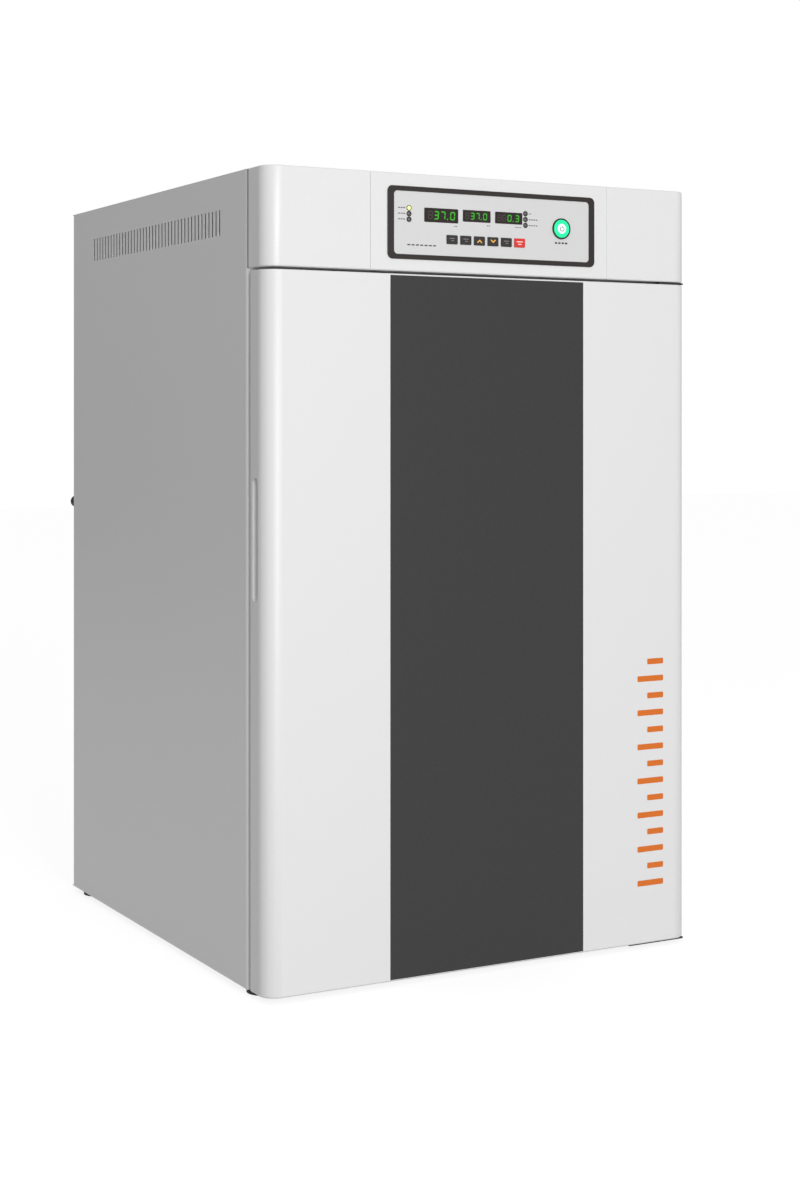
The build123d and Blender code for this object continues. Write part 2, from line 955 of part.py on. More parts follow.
def make_door_shell():
    """Painted outer skin of the door, folded in at the back, with the finger pull and the hinge corners."""
    back = door_shell_back()
    shell = eased_ends(front_body(0, back, (base_z, door_top_z)), back)
    shell -= door_hollow(0)
    rim = half_width - door_flange
    shell -= block(
        (-rim, rim), (back - door_skin - past, back + past), (base_z + door_flange, door_top_z - door_flange)
    ) - offset_block(pull_cup(), 0)
    panel_half = door_panel_width / 2
    bed_y = (front_y - past, front_y + door_panel_thickness)
    shell -= block((-panel_half, panel_half), bed_y, door_panel_z())
    shell -= pull_recess()
    for z in ((base_z - past, base_z + pin_hole_depth), (door_top_z - pin_hole_depth, door_top_z + past)):
        shell -= rod_z(hinge_x, hinge_y, hinge_pin_radius + hinge_play, z)
    return shell


def make_door_panel():
    """Dark centre panel, flush with the front of the door."""
    panel_half = door_panel_width / 2
    return block((-panel_half, panel_half), (front_y, front_y + door_panel_thickness), door_panel_z())


def liner_pan(shrink, depth):
    """Shape of the liner's recess, with sloping sides."""
    outline = RectangleRounded(
        liner_recess_width - 2 * shrink, liner_recess_height - 2 * shrink, liner_recess_radius - shrink
    )
    return extrude(facing_front(0, door_back_y, chamber_z) * outline, depth, taper=liner_draft)


def make_door_liner():
    """Inner pan of the door: a flat rim for the gasket and a tapered recess for the glass door."""
    half = half_width - liner_inset
    z = (base_z + liner_inset, door_top_z - liner_inset)
    rim = block((-half, half), (door_shell_back(), door_back_y), z)
    liner = rim + liner_pan(0, liner_recess_depth)
    return liner - liner_pan(liner_sheet, liner_recess_depth - liner_sheet)


def make_door_insulation():
    """Foam that fills the door between shell and liner."""
    foam = door_hollow(foam_gap)
    return foam - liner_pan(-foam_gap, liner_recess_depth + foam_gap)


def gasket_thickness():
    """The gasket fills the gap between liner and front frame, less a little air."""
    return frame_y - door_back_y - gasket_gap


def make_door_gasket():
    """Magnetic gasket: one ring with mitred corners on the liner's rim."""
    half = half_width - gasket_inset
    low, high = base_z + gasket_inset, door_top_z - gasket_inset
    y = (door_back_y, door_back_y + gasket_thickness())
    ring = block((-half, half), y, (low, high))
    half -= gasket_width
    inside_z = (low + gasket_width, high - gasket_width)
    return ring - block((-half, half), (y[0] - past, y[1] + past), inside_z)


def bracket_leaf_x():
    """Left and right edge of the upper bracket's upright leaf."""
    right = half_width - front_flange - bracket_leaf_gap
    return right - bracket_width, right


def make_hinge_brackets():
    """Upper bracket, turned up behind the fascia, and L-shaped lower one, each with its pin welded in."""
    leaf_left, leaf_right = bracket_leaf_x()
    plate_right = hinge_x + bracket_edge
    front = hinge_y - bracket_edge
    leaf_front = frame_y - bracket_thickness
    upper_z = (door_top_z + bracket_gap, door_top_z + bracket_gap + bracket_thickness)
    upper = block((leaf_left, plate_right), (front, leaf_front), upper_z)
    upper += block((leaf_left, leaf_right), (leaf_front, frame_y), (upper_z[0], upper_z[0] + bracket_leaf))
    lower_z = (base_z - bracket_gap - bracket_thickness, base_z - bracket_gap)
    leg_right = half_width - foot_from_side - foot_radius - bracket_foot_gap
    leg_x = (leg_right - bracket_leg, leg_right)
    arm_back = seam_y + foot_from_front - foot_radius - bracket_foot_gap
    lower = block((leg_x[0], plate_right), (front, arm_back), lower_z)
    lower += block(leg_x, (front, frame_y + bracket_leaf), lower_z)
    lower += block(leg_x, (frame_y, frame_y + bracket_leaf), (lower_z[1], base_z))
    upper += rod_z(hinge_x, hinge_y, hinge_pin_radius, (door_top_z - hinge_pin_length, upper_z[0]))
    lower += rod_z(hinge_x, hinge_y, hinge_pin_radius, (lower_z[1], base_z + hinge_pin_length))
    return group([upper, lower])


def chamber_body(grow):
    """The chamber's inside, or its outside when grown by the wall: round corners, clipped back edge."""
    body = plate(
        0,
        chamber_z,
        chamber_width + 2 * grow,
        chamber_height + 2 * grow,
        chamber_radius + grow,
        (flange_y, chamber_back_y + grow),
    )
    return chamfer(body.faces().sort_by(Axis.Y)[-1].edges(), chamber_back_cut)


def behind_chamber():
    """From inside the chamber's back wall to behind the insulation."""
    return chamber_back_y - past, insulation_back_y + past


def nozzle_place():
    """Plan position of the gas nozzle in the chamber's ceiling."""
    return gas_x, chamber_back_y - nozzle_from_back


def ceiling_hole(extra):
    """Square hole for the gas pipe, through the chamber's ceiling, the insulation and the bay's floor."""
    x, y = nozzle_place()
    half = gas_pipe_radius + through_gap + extra
    z = (ceiling_z - chamber_radius, bay_z + sheet + past)
    return block((x - half, x + half), (y - half, y + half), z)


def make_chamber():
    """Stainless chamber with rounded corners and a flange round its mouth."""
    flange = clipped_plate(
        0,
        chamber_z,
        chamber_width + 2 * chamber_flange,
        chamber_height + 2 * chamber_flange,
        chamber_flange_clip,
        (flange_y, flange_y + chamber_wall),
    )
    chamber = chamber_body(chamber_wall) + flange - chamber_body(0)
    chamber -= square_hole(0, fan_z, shaft_radius + shaft_gap, behind_chamber())
    chamber -= rod_y(port_x, port_z, port_radius + port_wall + through_gap, behind_chamber())
    return chamber - ceiling_hole(0)


def make_insulation():
    """Fibre insulation round the chamber, from the front frame to behind the back wall."""
    half = inner_half - insulation_side_gap
    jacket = block((-half, half), (frame_back_y + sheet, insulation_back_y), (insulation_z, bay_z))
    jacket -= offset_block(chamber_body(chamber_wall), bedding_gap)
    rim = chamber_flange + bedding_gap
    jacket -= block(
        (-chamber_width / 2 - rim, chamber_width / 2 + rim),
        (frame_y, flange_y + chamber_wall + bedding_gap),
        (floor_z - rim, ceiling_z + rim),
    )
    jacket -= square_hole(0, fan_z, shaft_radius + shaft_gap + through_gap, behind_chamber())
    jacket -= square_hole(port_x, port_z, port_radius + port_wall + 2 * through_gap, behind_chamber())
    return jacket - ceiling_hole(through_gap)


def make_chamber_seal():
    """Silicone ring on the chamber's flange, which the glass door closes on."""
    inner_width = chamber_width + 2 * seal_inset
    inner_height = chamber_height + 2 * seal_inset
    y = (flange_y - seal_thickness, flange_y)
    ring = plate(
        0,
        chamber_z,
        inner_width + 2 * seal_width,
        inner_height + 2 * seal_width,
        chamber_radius + seal_width,
        y,
    )
    return ring - plate(0, chamber_z, inner_width, inner_height, chamber_radius, (y[0] - past, y[1] + past))


def knob_place():
    """Middle of the glass door's pull knob."""
    return -glass_width / 2 + knob_from_edge, chamber_z - knob_drop


def make_glass_door():
    """Inner door: toughened glass with rounded corners and a hole for its knob."""
    glass = plate(0, chamber_z, glass_width, glass_height, glass_radius, (glass_y, glass_back_y))
    return glass - rod_y(*knob_place(), knob_stem_radius + press_play, (glass_y - past, glass_back_y + past))


def make_glass_knob():
    """Pull knob: a grip with twelve flats, a tapered neck, a stem through the glass and a nut behind."""
    x, z = knob_place()
    tip = glass_y - knob_length
    outline = RegularPolygon(knob_radius, knob_sides)
    knob = extrude(facing_front(x, tip, z) * outline, -knob_grip)
    knob += extrude(facing_front(x, tip + knob_grip, z) * outline, knob_grip - knob_length, taper=knob_taper)
    knob += rod_y(x, z, knob_stem_radius, (glass_y, glass_back_y))
    return knob + hexagon_y(x, z, knob_nut_radius, (glass_back_y, glass_back_y + knob_nut))


def glass_hinge_heights():
    """Middles of the two glass hinges."""
    rise = glass_height / 2 - glass_hinge_from_end
    return [chamber_z - rise, chamber_z + rise]


def glass_knuckle_bar(z):
    """Square bar round the glass door's hinge line, slim enough to turn clear of the frame."""
    half = glass_knuckle / 2
    return block(
        (glass_hinge_x - half, glass_hinge_x + half), (glass_hinge_y - half, glass_hinge_y + half), z
    )


def make_glass_hinge_frame_leaves():
    """Fixed leaves of the lift-off glass hinges: a knuckle below, with its pin standing up from it."""
    leaves = []
    for z in glass_hinge_heights():
        low, high = z - glass_knuckle_height, z
        leaf = block(
            (glass_hinge_x, glass_hinge_x + frame_leaf_width),
            (frame_y - frame_leaf_thickness, frame_y),
            (low, high),
        )
        leaf += block(
            (glass_hinge_x, glass_hinge_x + glass_knuckle / 2),
            (glass_hinge_y, frame_y - frame_leaf_thickness),
            (low, high),
        )
        leaf += glass_knuckle_bar((low, high))
        leaves.append(leaf + rod_z(glass_hinge_x, glass_hinge_y, glass_pin_radius, (high, high + glass_pin)))
    return group(leaves)


def make_glass_hinge_leaves():
    """Moving leaves of the glass hinges: a plate on the glass, a neck and a knuckle over the pin."""
    leaves = []
    edge = well_width / 2 - glass_leaf_gap
    for z in glass_hinge_heights():
        ends = (z + knuckle_gap, z + knuckle_gap + glass_knuckle_height)
        leaf = block(
            (edge - glass_leaf_width, edge),
            (glass_y - glass_leaf_thickness, glass_y),
            ends,
        )
        leaf += block((edge - glass_leaf_thickness, glass_hinge_x), (glass_hinge_y, glass_y), ends)
        leaf += glass_knuckle_bar(ends)
        radius = glass_pin_radius + hinge_play
        leaves.append(leaf - rod_z(glass_hinge_x, glass_hinge_y, radius, (z, z + glass_pin + knuckle_gap)))
    return group(leaves)


def make_latch():
    """Turn latch: a six-sided hub on the frame's stud, an arm that hangs down, and a finger grip on it."""
    x = -well_width / 2 - latch_from_well
    back = frame_y - latch_lift
    front = back - latch_thickness
    arm_end = chamber_z - latch_arm_length
    hub_front = front - latch_hub_proud
    latch = hexagon_y(x, chamber_z, latch_hub_radius, (hub_front, back))
    latch += clipped_plate(
        x,
        (chamber_z + arm_end) / 2,
        latch_arm_width,
        chamber_z - arm_end,
        latch_arm_corner,
        (front, back),
    )
    latch += block(
        (x - latch_grip_width / 2, x + latch_grip_width / 2),
        (front - latch_grip_height, front),
        (arm_end, arm_end + latch_grip_length),
    )
    return latch - rod_y(x, chamber_z, latch_stud_radius + shaft_play, (hub_front - past, back + past))


def rail_heights():
    """Heights of the shelf rails' ledges."""
    return [floor_z + rail_first + i * rail_pitch for i in range(rail_levels)]


def rack_half():
    """Distance from the middle to the inner face of the rack posts."""
    return chamber_width / 2 - rack_post_depth


def make_shelf_racks():
    """Shelf racks: two posts against each side wall, joined by angle rails that carry the shelves."""
    wall = -chamber_width / 2
    inner = -rack_half()
    post_z = (floor_z + rack_end_gap, ceiling_z - rack_end_gap)
    rack = None
    for y in (flange_y + rack_front, chamber_back_y - rack_from_back):
        rack = block((wall, inner), (y - rack_post_width / 2, y + rack_post_width / 2), post_z) + rack
    rail_y = (flange_y + shelf_front, flange_y + shelf_front + shelf_depth)
    for z in rail_heights():
        rack += block((inner, inner + rail_thickness), rail_y, (z - rail_thickness, z + rail_height))
        rack += block((inner, inner + rail_thickness + rail_width), rail_y, (z - rail_thickness, z))
    return both_sides(rack)


def make_shelf(level):
    """Slotted shelf, its front and back edges folded down between the rails."""
    z = rail_heights()[level] + shelf_lift
    half = rack_half() - rail_thickness - shelf_gap
    y = (flange_y + shelf_front, flange_y + shelf_front + shelf_depth)
    shelf = block((-half, half), y, (z, z + shelf_sheet))
    fold_half = half - rail_width - shelf_fold_inset
    fold_z = (z - shelf_fold, z)
    shelf += block((-fold_half, fold_half), (y[0], y[0] + shelf_sheet), fold_z)
    shelf += block((-fold_half, fold_half), (y[1] - shelf_sheet, y[1]), fold_z)
    middle = (y[0] + y[1]) / 2
    slot_width = (2 * (half - slot_edge) - (slot_columns - 1) * slot_bridge) / slot_columns
    pitch_x = slot_width + slot_bridge
    pitch_y = (shelf_depth - 2 * slot_end - slot_height) / (slot_rows - 1)
    cuts = []
    for column in range(slot_columns):
        for row in range(slot_rows):
            x = (column - (slot_columns - 1) / 2) * pitch_x
            slot_y = middle + (row - (slot_rows - 1) / 2) * pitch_y
            cuts.append(
                block(
                    (x - slot_width / 2, x + slot_width / 2),
                    (slot_y - slot_height / 2, slot_y + slot_height / 2),
                    (z - past, z + shelf_sheet + past),
                )
            )
    return shelf - cuts


def make_water_pan():
    """Open stainless pan on the chamber floor."""
    y = flange_y + pan_front + pan_depth / 2
    low = floor_z + shelf_lift
    outside = Pos(0, y, low) * RectangleRounded(pan_width, pan_depth, pan_radius)
    inside = Pos(0, y, low + pan_wall) * RectangleRounded(
        pan_width - 2 * pan_wall, pan_depth - 2 * pan_wall, pan_radius - pan_wall
    )
    return extrude(outside, pan_height) - extrude(inside, pan_height)


def fan_cover_y():
    """Front and back of the fan cover."""
    return chamber_back_y - fan_cover_depth, chamber_back_y


def make_fan_cover():
    """Dished cover over the fan: radial inlet slots in front, outlet slots above and below."""
    z = fan_z
    front, back = fan_cover_y()
    cover = clipped_plate(0, z, fan_cover_width, fan_cover_height, fan_cover_corner, (front, back))
    wall = fan_cover_wall
    cover -= clipped_plate(
        0,
        z,
        fan_cover_width - 2 * wall,
        fan_cover_height - 2 * wall,
        fan_cover_corner - wall / 2,
        (front + wall, back + past),
    )
    slot = Pos(0, 0, fan_slot_inner + fan_slot_length / 2) * Box(fan_slot_width, 4 * wall, fan_slot_length)
    cuts = [
        Pos(0, front, z) * Rot(0, i * 360 / fan_slot_count, 0) * slot for i in range(fan_slot_count)
    ]
    pitch = (fan_cover_width - 2 * fan_outlet_margin) / fan_outlet_count
    half = (pitch - fan_outlet_bridge) / 2
    for i in range(fan_outlet_count):
        x = (i - (fan_outlet_count - 1) / 2) * pitch
        middle = (front + back) / 2
        cuts.append(
            block(
                (x - half, x + half),
                (middle - fan_outlet_depth / 2, middle + fan_outlet_depth / 2),
                (z - fan_cover_height / 2 - past, z + fan_cover_height / 2 + past),
            )
        )
    return cover - cuts


def make_fan_impeller():
    """Centrifugal wheel: back plate, six-sided hub, leaning blades and the shaft to the motor."""
    z = fan_z
    back = chamber_back_y - impeller_back_gap
    front = back - impeller_width
    wheel = rod_y(0, z, impeller_radius, (back - impeller_plate, back))
    wheel += hexagon_y(0, z, impeller_hub_radius, (front, back))
    span = impeller_radius - blade_inner - impeller_plate
    blade = Box(blade_thickness, impeller_width - impeller_plate, span)
    middle_y = (front + back) / 2
    for i in range(blade_count):
        turn = Rot(0, i * 360 / blade_count, 0)
        wheel += (
            Pos(0, middle_y, z)
            * turn
            * Pos(0, 0, (blade_inner + impeller_radius) / 2)
            * Rot(0, blade_lean, 0)
            * blade
        )
    shaft_end = insulation_back_y + motor_plate_thickness + shaft_grip
    return wheel + rod_y(0, z, shaft_radius, (back, shaft_end))


def make_fan_motor():
    """Motor behind the insulation: a square stack with clipped corners on a wider plate."""
    front = insulation_back_y
    base = (front, front + motor_plate_thickness)
    motor = clipped_plate(0, fan_z, motor_plate, motor_plate, motor_plate_corner, base)
    stack = (front + motor_plate_thickness, front + motor_length)
    motor += clipped_plate(0, fan_z, motor_size, motor_size, motor_plate_corner, stack)
    bore = (front - past, stack[0] + shaft_grip + past)
    return motor - rod_y(0, fan_z, shaft_radius + shaft_play, bore)


def make_co2_sensor():
    """Gas sensor: a round body that stands out from the back wall on a six-sided flange."""
    sensor = rod_y(sensor_x, sensor_z, sensor_radius, (chamber_back_y - sensor_length, chamber_back_y))
    flange = (chamber_back_y - sensor_flange, chamber_back_y)
    return sensor + hexagon_y(sensor_x, sensor_z, sensor_flange_radius, flange)


def make_temperature_probe():
    """Thin temperature probe that stands out from the back wall."""
    return rod_y(-sensor_x, sensor_z, probe_radius, (chamber_back_y - probe_length, chamber_back_y))


def make_port_sleeve():
    """Tube from the chamber to the rear panel, with a square flange at its rear end."""
    outer = port_radius + port_wall
    face = rear_y + port_flange
    sleeve = rod_y(port_x, port_z, outer, (chamber_back_y - port_flange, face))
    size = port_flange_size
    sleeve += clipped_plate(port_x, port_z, size, size, port_flange_clip, (rear_y, face))
    return sleeve - rod_y(port_x, port_z, port_radius, (chamber_back_y - port_flange - past, face + past))


def make_port_plug():
    """Silicone plug in the rear end of the access port, with a flat tab to pull it by."""
    mouth = rear_y + port_flange
    plug = rod_y(port_x, port_z, port_radius - plug_gap, (mouth - plug_length, mouth))
    return plug + block(
        (port_x - plug_tab_width / 2, port_x + plug_tab_width / 2),
        (mouth, mouth + plug_tab),
        (port_z - plug_tab_height / 2, port_z + plug_tab_height / 2),
    )


def filter_y():
    """Front and back of the gas filter."""
    front = nozzle_place()[1] + valve_length / 2
    return front, front + filter_length


def make_gas_filter():
    """Six-sided in-line gas filter at the valve's inlet."""
    return hexagon_y(gas_x, gas_z, filter_radius, filter_y())


def make_gas_valve():
    """Solenoid valve: a flat body with its coil on top."""
    y = nozzle_place()[1]
    body_top = gas_z + valve_height / 2
    body = block(
        (gas_x - valve_width / 2, gas_x + valve_width / 2),
        (y - valve_length / 2, y + valve_length / 2),
        (gas_z - valve_height / 2, body_top),
    )
    return body + block(
        (gas_x - coil_size / 2, gas_x + coil_size / 2),
        (y - coil_size / 2, y + coil_size / 2),
        (body_top, body_top + coil_height),
    )


def make_gas_pipes():
    """Pipe from the rear stem to the filter, and pipe from the valve down into the chamber."""
    x, y = nozzle_place()
    pipe_y = (filter_y()[1], rear_inner_y - gas_thread_length)
    long_pipe = rod_y(gas_x, gas_z, gas_pipe_radius, pipe_y)
    down_pipe = rod_z(x, y, gas_pipe_radius, (ceiling_z - nozzle_drop, gas_z - valve_height / 2))
    return group([long_pipe, down_pipe])


def make_co2_inlet():
    """Hose stem for the gas supply: plain stem, hexagon, and a threaded end through the rear panel."""
    stem_y = rear_y + gas_hex_length
    inlet = hexagon_y(gas_x, gas_z, gas_hex, (rear_y, stem_y))
    inlet += rod_y(gas_x, gas_z, gas_stem_radius, (stem_y, stem_y + gas_stem_length))
    return inlet + rod_y(gas_x, gas_z, gas_thread_radius, (rear_inner_y - gas_thread_length, rear_y))


def make_mains_inlet():
    """Mains inlet: a flange with a recessed socket and three flat pins."""
    z = inlet_z
    face = rear_y + inlet_flange
    inlet = clipped_plate(
        inlet_x, z, inlet_flange_width, inlet_flange_height, inlet_corner, (rear_y, face)
    )
    inlet += block(
        (inlet_x - inlet_body_width / 2, inlet_x + inlet_body_width / 2),
        (rear_y - inlet_body_depth, rear_y),
        (z - inlet_body_height / 2, z + inlet_body_height / 2),
    )
    socket_y = (face - inlet_socket_depth, face + past)
    inlet -= block(
        (inlet_x - inlet_socket_width / 2, inlet_x + inlet_socket_width / 2),
        socket_y,
        (z - inlet_socket_height / 2, z + inlet_socket_height / 2),
    )
    for step, rise in ((-1, -1), (0, 1), (1, -1)):
        x = inlet_x + step * inlet_pin_spacing
        middle = z + rise * inlet_pin_offset
        inlet += block(
            (x - inlet_pin_width / 2, x + inlet_pin_width / 2),
            (socket_y[0], face - inlet_flange),
            (middle - inlet_pin_height / 2, middle + inlet_pin_height / 2),
        )
    return inlet


def make_bay_floor():
    """Sheet floor of the electronics bay, turned up at the front and back."""
    y = (frame_back_y, rear_inner_y)
    floor = block((-flat_half, flat_half), y, (bay_z, bay_z + sheet))
    for wall in ((y[0], y[0] + sheet), (y[1] - sheet, y[1])):
        floor += block((-flat_half, flat_half), wall, (bay_z, bay_z + bay_lip))
    return floor - ceiling_hole(0)


def supply_x():
    """Left and right side of the power supply."""
    left = supply_from_side - half_width
    return left, left + supply_width


def make_main_board():
    """Control board on pillars, with relays, a transformer, a heat sink and terminals."""
    left = supply_x()[1] + main_board_gap
    x = (left, left + main_board_width)
    back = frame_back_y + main_board_back
    y = (back - main_board_depth, back)
    floor = bay_z + sheet
    low = floor + standoff_height
    top = low + board_thickness
    board = block(x, y, (low, top))
    for px in (x[0] + board_margin, x[1] - board_margin):
        for py in (y[0] + board_margin, y[1] - board_margin):
            half = standoff_size / 2
            board += block((px - half, px + half), (py - half, py + half), (floor, low))
    relay_y = (y[1] - relay_from_back - relay_size, y[1] - relay_from_back)
    for i in range(relay_count):
        left = x[0] + board_parts_margin + i * relay_pitch
        board += block((left, left + relay_size), relay_y, (top, top + relay_height))
    left, front = x[0] + board_parts_margin, y[0] + board_parts_margin
    board += block(
        (left, left + transformer_size), (front, front + transformer_size), (top, top + transformer_height)
    )
    heat_sink = block(
        (left + heat_sink_from_left, left + heat_sink_from_left + heat_sink_width),
        (front, front + heat_sink_depth),
        (top, top + heat_sink_height),
    )
    terminals = block(
        (left, x[1] - board_parts_margin),
        (y[1] - terminal_depth, y[1]),
        (top, top + terminal_height),
    )
    return board + heat_sink + terminals


def make_power_supply():
    """Boxed power supply with a terminal strip."""
    x = supply_x()
    front = frame_back_y + supply_front
    floor = bay_z + sheet
    supply = block(x, (front, front + supply_depth), (floor, floor + supply_height))
    strip = block(
        (x[0] + board_margin, x[1] - board_margin),
        (front - supply_strip, front),
        (floor, floor + supply_strip_height),
    )
    return supply + strip


def all_parts():
    """Every node, by name."""
    left = make_left_side_panel()
    parts = {
        "left_side_panel": left,
        "right_side_panel": mirror(left, about=Plane.YZ),
        "top_panel": make_top_panel(),
        "base_pan": make_base_pan(),
        "rear_panel": make_rear_panel(),
        "rear_spacers": make_rear_spacers(),
        "feet": make_feet(),
        "front_frame": make_front_frame(),
        "fascia_left": make_fascia_left(),
        "fascia_centre": make_fascia_centre(),
        "fascia_right": make_fascia_right(),
        "control_bezel": make_control_bezel(),
        "control_face": make_control_face(),
        "display_windows": make_display_windows(),
        "display_board": make_display_board(),
        "indicator_lights": make_indicator_lights(),
        "power_switch": make_power_switch(),
        "bay_floor": make_bay_floor(),
        "main_board": make_main_board(),
        "power_supply": make_power_supply(),
        "gas_valve": make_gas_valve(),
        "gas_filter": make_gas_filter(),
        "gas_pipes": make_gas_pipes(),
        "co2_inlet": make_co2_inlet(),
        "mains_inlet": make_mains_inlet(),
        "chamber": make_chamber(),
        "insulation": make_insulation(),
        "chamber_seal": make_chamber_seal(),
        "shelf_racks": make_shelf_racks(),
        "fan_cover": make_fan_cover(),
        "fan_motor": make_fan_motor(),
        "co2_sensor": make_co2_sensor(),
        "temperature_probe": make_temperature_probe(),
        "port_sleeve": make_port_sleeve(),
        "hinge_brackets": make_hinge_brackets(),
        "glass_hinge_frame_leaves": make_glass_hinge_frame_leaves(),
        "door_shell": make_door_shell(),
        "door_panel": make_door_panel(),
        "door_liner": make_door_liner(),
        "door_insulation": make_door_insulation(),
        "door_gasket": make_door_gasket(),
        "glass_door": make_glass_door(),
        "glass_hinge_leaves": make_glass_hinge_leaves(),
        "glass_knob": make_glass_knob(),
        "turn_latch": make_latch(),
        "power_button": make_power_button(),
        "fan_impeller": make_fan_impeller(),
        "lower_shelf": make_shelf(shelf_levels[0]),
        "upper_shelf": make_shelf(shelf_levels[1]),
        "water_pan": make_water_pan(),
        "port_plug": make_port_plug(),
    }
    for name, (x, z) in zip(key_names, key_places()):
        parts[name] = make_key(x, z)
    return parts


os.makedirs("parts", exist_ok=True)
for name, part in all_parts().items():
    export_step(part, f"parts/{name}.step")
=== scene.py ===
import math

import bmesh
import bpy
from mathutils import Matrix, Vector


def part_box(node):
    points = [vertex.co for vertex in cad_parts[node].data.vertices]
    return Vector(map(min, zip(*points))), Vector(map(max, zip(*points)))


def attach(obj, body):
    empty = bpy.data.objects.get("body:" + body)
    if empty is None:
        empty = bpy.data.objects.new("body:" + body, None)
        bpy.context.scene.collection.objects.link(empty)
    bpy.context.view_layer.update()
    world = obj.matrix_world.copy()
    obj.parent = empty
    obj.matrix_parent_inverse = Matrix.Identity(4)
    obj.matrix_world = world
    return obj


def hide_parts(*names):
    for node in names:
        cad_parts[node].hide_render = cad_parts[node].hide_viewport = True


# Laboratory incubator with a dark door panel and a lit control fascia.
# Lengths are given in millimetres and turned to metres by mm. +Z up, the front faces -Y.
mm = 0.001
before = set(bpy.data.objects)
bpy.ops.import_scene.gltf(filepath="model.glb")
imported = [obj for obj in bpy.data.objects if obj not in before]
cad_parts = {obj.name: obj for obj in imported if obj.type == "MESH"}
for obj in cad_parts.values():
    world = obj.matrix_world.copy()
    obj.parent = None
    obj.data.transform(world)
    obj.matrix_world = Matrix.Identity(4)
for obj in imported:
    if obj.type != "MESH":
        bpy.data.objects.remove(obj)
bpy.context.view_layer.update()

# The photograph's camera
photo_height = 1201.0
camera_place = (-1216.69, -2335.95, 643.02)
camera_turn = 28.667
focal_px = 2009.47
horizon_px = 421.95
sensor_size = 36.0

# Control face: its own frame starts at the lower left corner of the grey plate
face_lap = 1.8
window_left = 39.4
window_gap = 6.0
window_top = 54.5
window_widths = (45.3, 37.7, 37.7)
window_heights = (16.5, 13.8, 13.8)
left_light = (19.5, 39.9, 6.5)
right_light = (176.2, 40.3, 6.85)
key_first_x = 76.3
key_pitch = 18.36
key_z = 19.1
power_from_right = 39.2
power_z = 38.5
print_thickness = 0.12
legend_thickness = 0.04
lamps_in_column = 3
lit_lamp = (0, 2)

# Turned profiles: radius, and height above the face or depth behind the button's front
rim_profile = ((3.2, 0), (3.1, 0.6), (2.8, 0.8), (2.35, 0.75), (2.2, 0.3), (2.2, 0))
dome_profile = ((2.2, 0), (2.05, 0.35), (1.6, 0.7), (1.0, 0.9), (0, 0.98))
ring_front = ((10.65, 3.6), (10.65, 1.0), (10.45, 0.5), (9.9, 0.1), (8.6, 0), (6.9, 0.05))
ring_inside = ((6.2, 0.3), (5.95, 0.8), (5.9, 3.6))
cap_profile = ((5.85, 3.6), (5.85, 0.55), (5.6, 0.3), (4.6, 0.15), (0, 0.1))
collar_profile = ((12.4, 0.8), (12.0, 0.35), (11.3, 0.35), (10.95, 0.8))
collar_foot = (12.5, 10.95)
lamp_steps = 32
button_steps = 72

# Power sign: a ring open at its top, from one angle to another, and a bar
sign_drop = 0.3
sign_radius = 2.7
sign_stroke = 0.9
sign_angles = (128, 412)
sign_bar = (0.3, 3.5)
sign_lift = 0.08
sign_steps = 30

# Keys, and the marks on them as left, right, low and high from each key's middle
key_names = ("key_menu", "key_set", "key_up", "key_down", "key_mute", "key_stop")
chevron_half = 3.6
chevron_rise = 1.7
chevron_stroke = 1.5
chevron_tip_share = 1.25
chevron_end_shares = (0.75, 0.55)
dark_key_strokes = ((-3.6, 3.2, 1.0, 1.7), (-1.4, 2.2, -1.5, -0.8))
stop_key_strokes = ((-4.4, 4.2, 0.7, 1.9), (-2.6, 2.4, -2.2, -1.0))
dark_stroke_corner = 0.3
stop_stroke_corner = 0.4

# Plain dashes beside the lamps, as distances from a lamp's middle
lamp_dash_height = 1.1
lamp_dash_gap = 0.8
left_dashes = (14.2, 4.8, 3)
right_dashes_start = 4.6
right_dashes = ((17.0, 4), (17.0, 4), (8.0, 2))

# Plain dashes below the windows: window, left, right, height, gap and count
below_window = 3.4
window_dashes = (
    (0, 79.0, 83.2, 1.0, 0.6, 2),
    (1, 123.5, 127.6, 1.0, 0.6, 2),
    (1, 162.0, 170.6, 0.8, 0.7, 3),
)

# Plain dashes at the face's foot and below the button: left, right, place, height, gap and count
foot_dashes = (17.2, 55.2, 11.0, 1.5, 1.6, 7)
button_dashes = (48.0, 30.4, 21.4, 2.1, 1.3, 4)
dash_corner_share = 0.3

# Digits, each window's text with the places of its signs from the window's right edge
digit_slant = 0.06
stroke_share = 0.15
readings = (
    ("37.0", (29.4, 20.7, 14.6, 7.9), 9.8, 6.6),
    ("37.0", (24.9, 17.9, 12.9, 7.8), 8.1, 5.5),
    ("0.3", (18.0, 12.8, 7.6), 8.1, 5.5),
)
unlit_places = ((37.5,), (31.8,), (25.4, 31.8))

# Plain orange bars on the right of the door
bars_left = 210.6
bars_right = 248.8
bars_low = 77.0
bars_high = 354.0
bar_count = 14
bar_height = 7.0
short_bar_share = 0.62
bar_corner = 1.2
bar_thickness = 0.1

# Screws: profiles are radius and height above what they hold
rear_screw_x = 272.0
rear_screw_low = 67.0
rear_screw_pitch = 266.67
rear_screw_rows = 4
washer_profile = ((5.4, 0), (5.4, 0.5), (4.6, 0.7), (0, 0.7))
head_radius = 4.0
head_span = (0.7, 2.4)
crown_profile = ((3.3, 2.4), (2.9, 2.7), (0, 2.7))
latch_screw_profile = ((5.2, 0), (5.2, 0.8), (4.4, 1.8), (2.4, 2.4), (0, 2.5))
latch_screw_drop = 7.0

# Seam shade strips: dark strips that paint the shade in the seams beside the fascia. Section across, as
# steps inwards and backwards from the side panel's front edge
shade_strip_section = ((0.1, -0.05), (-0.05, -0.05), (-0.05, -2.0), (0.1, -2.0))
shade_strip_top_gap = 1

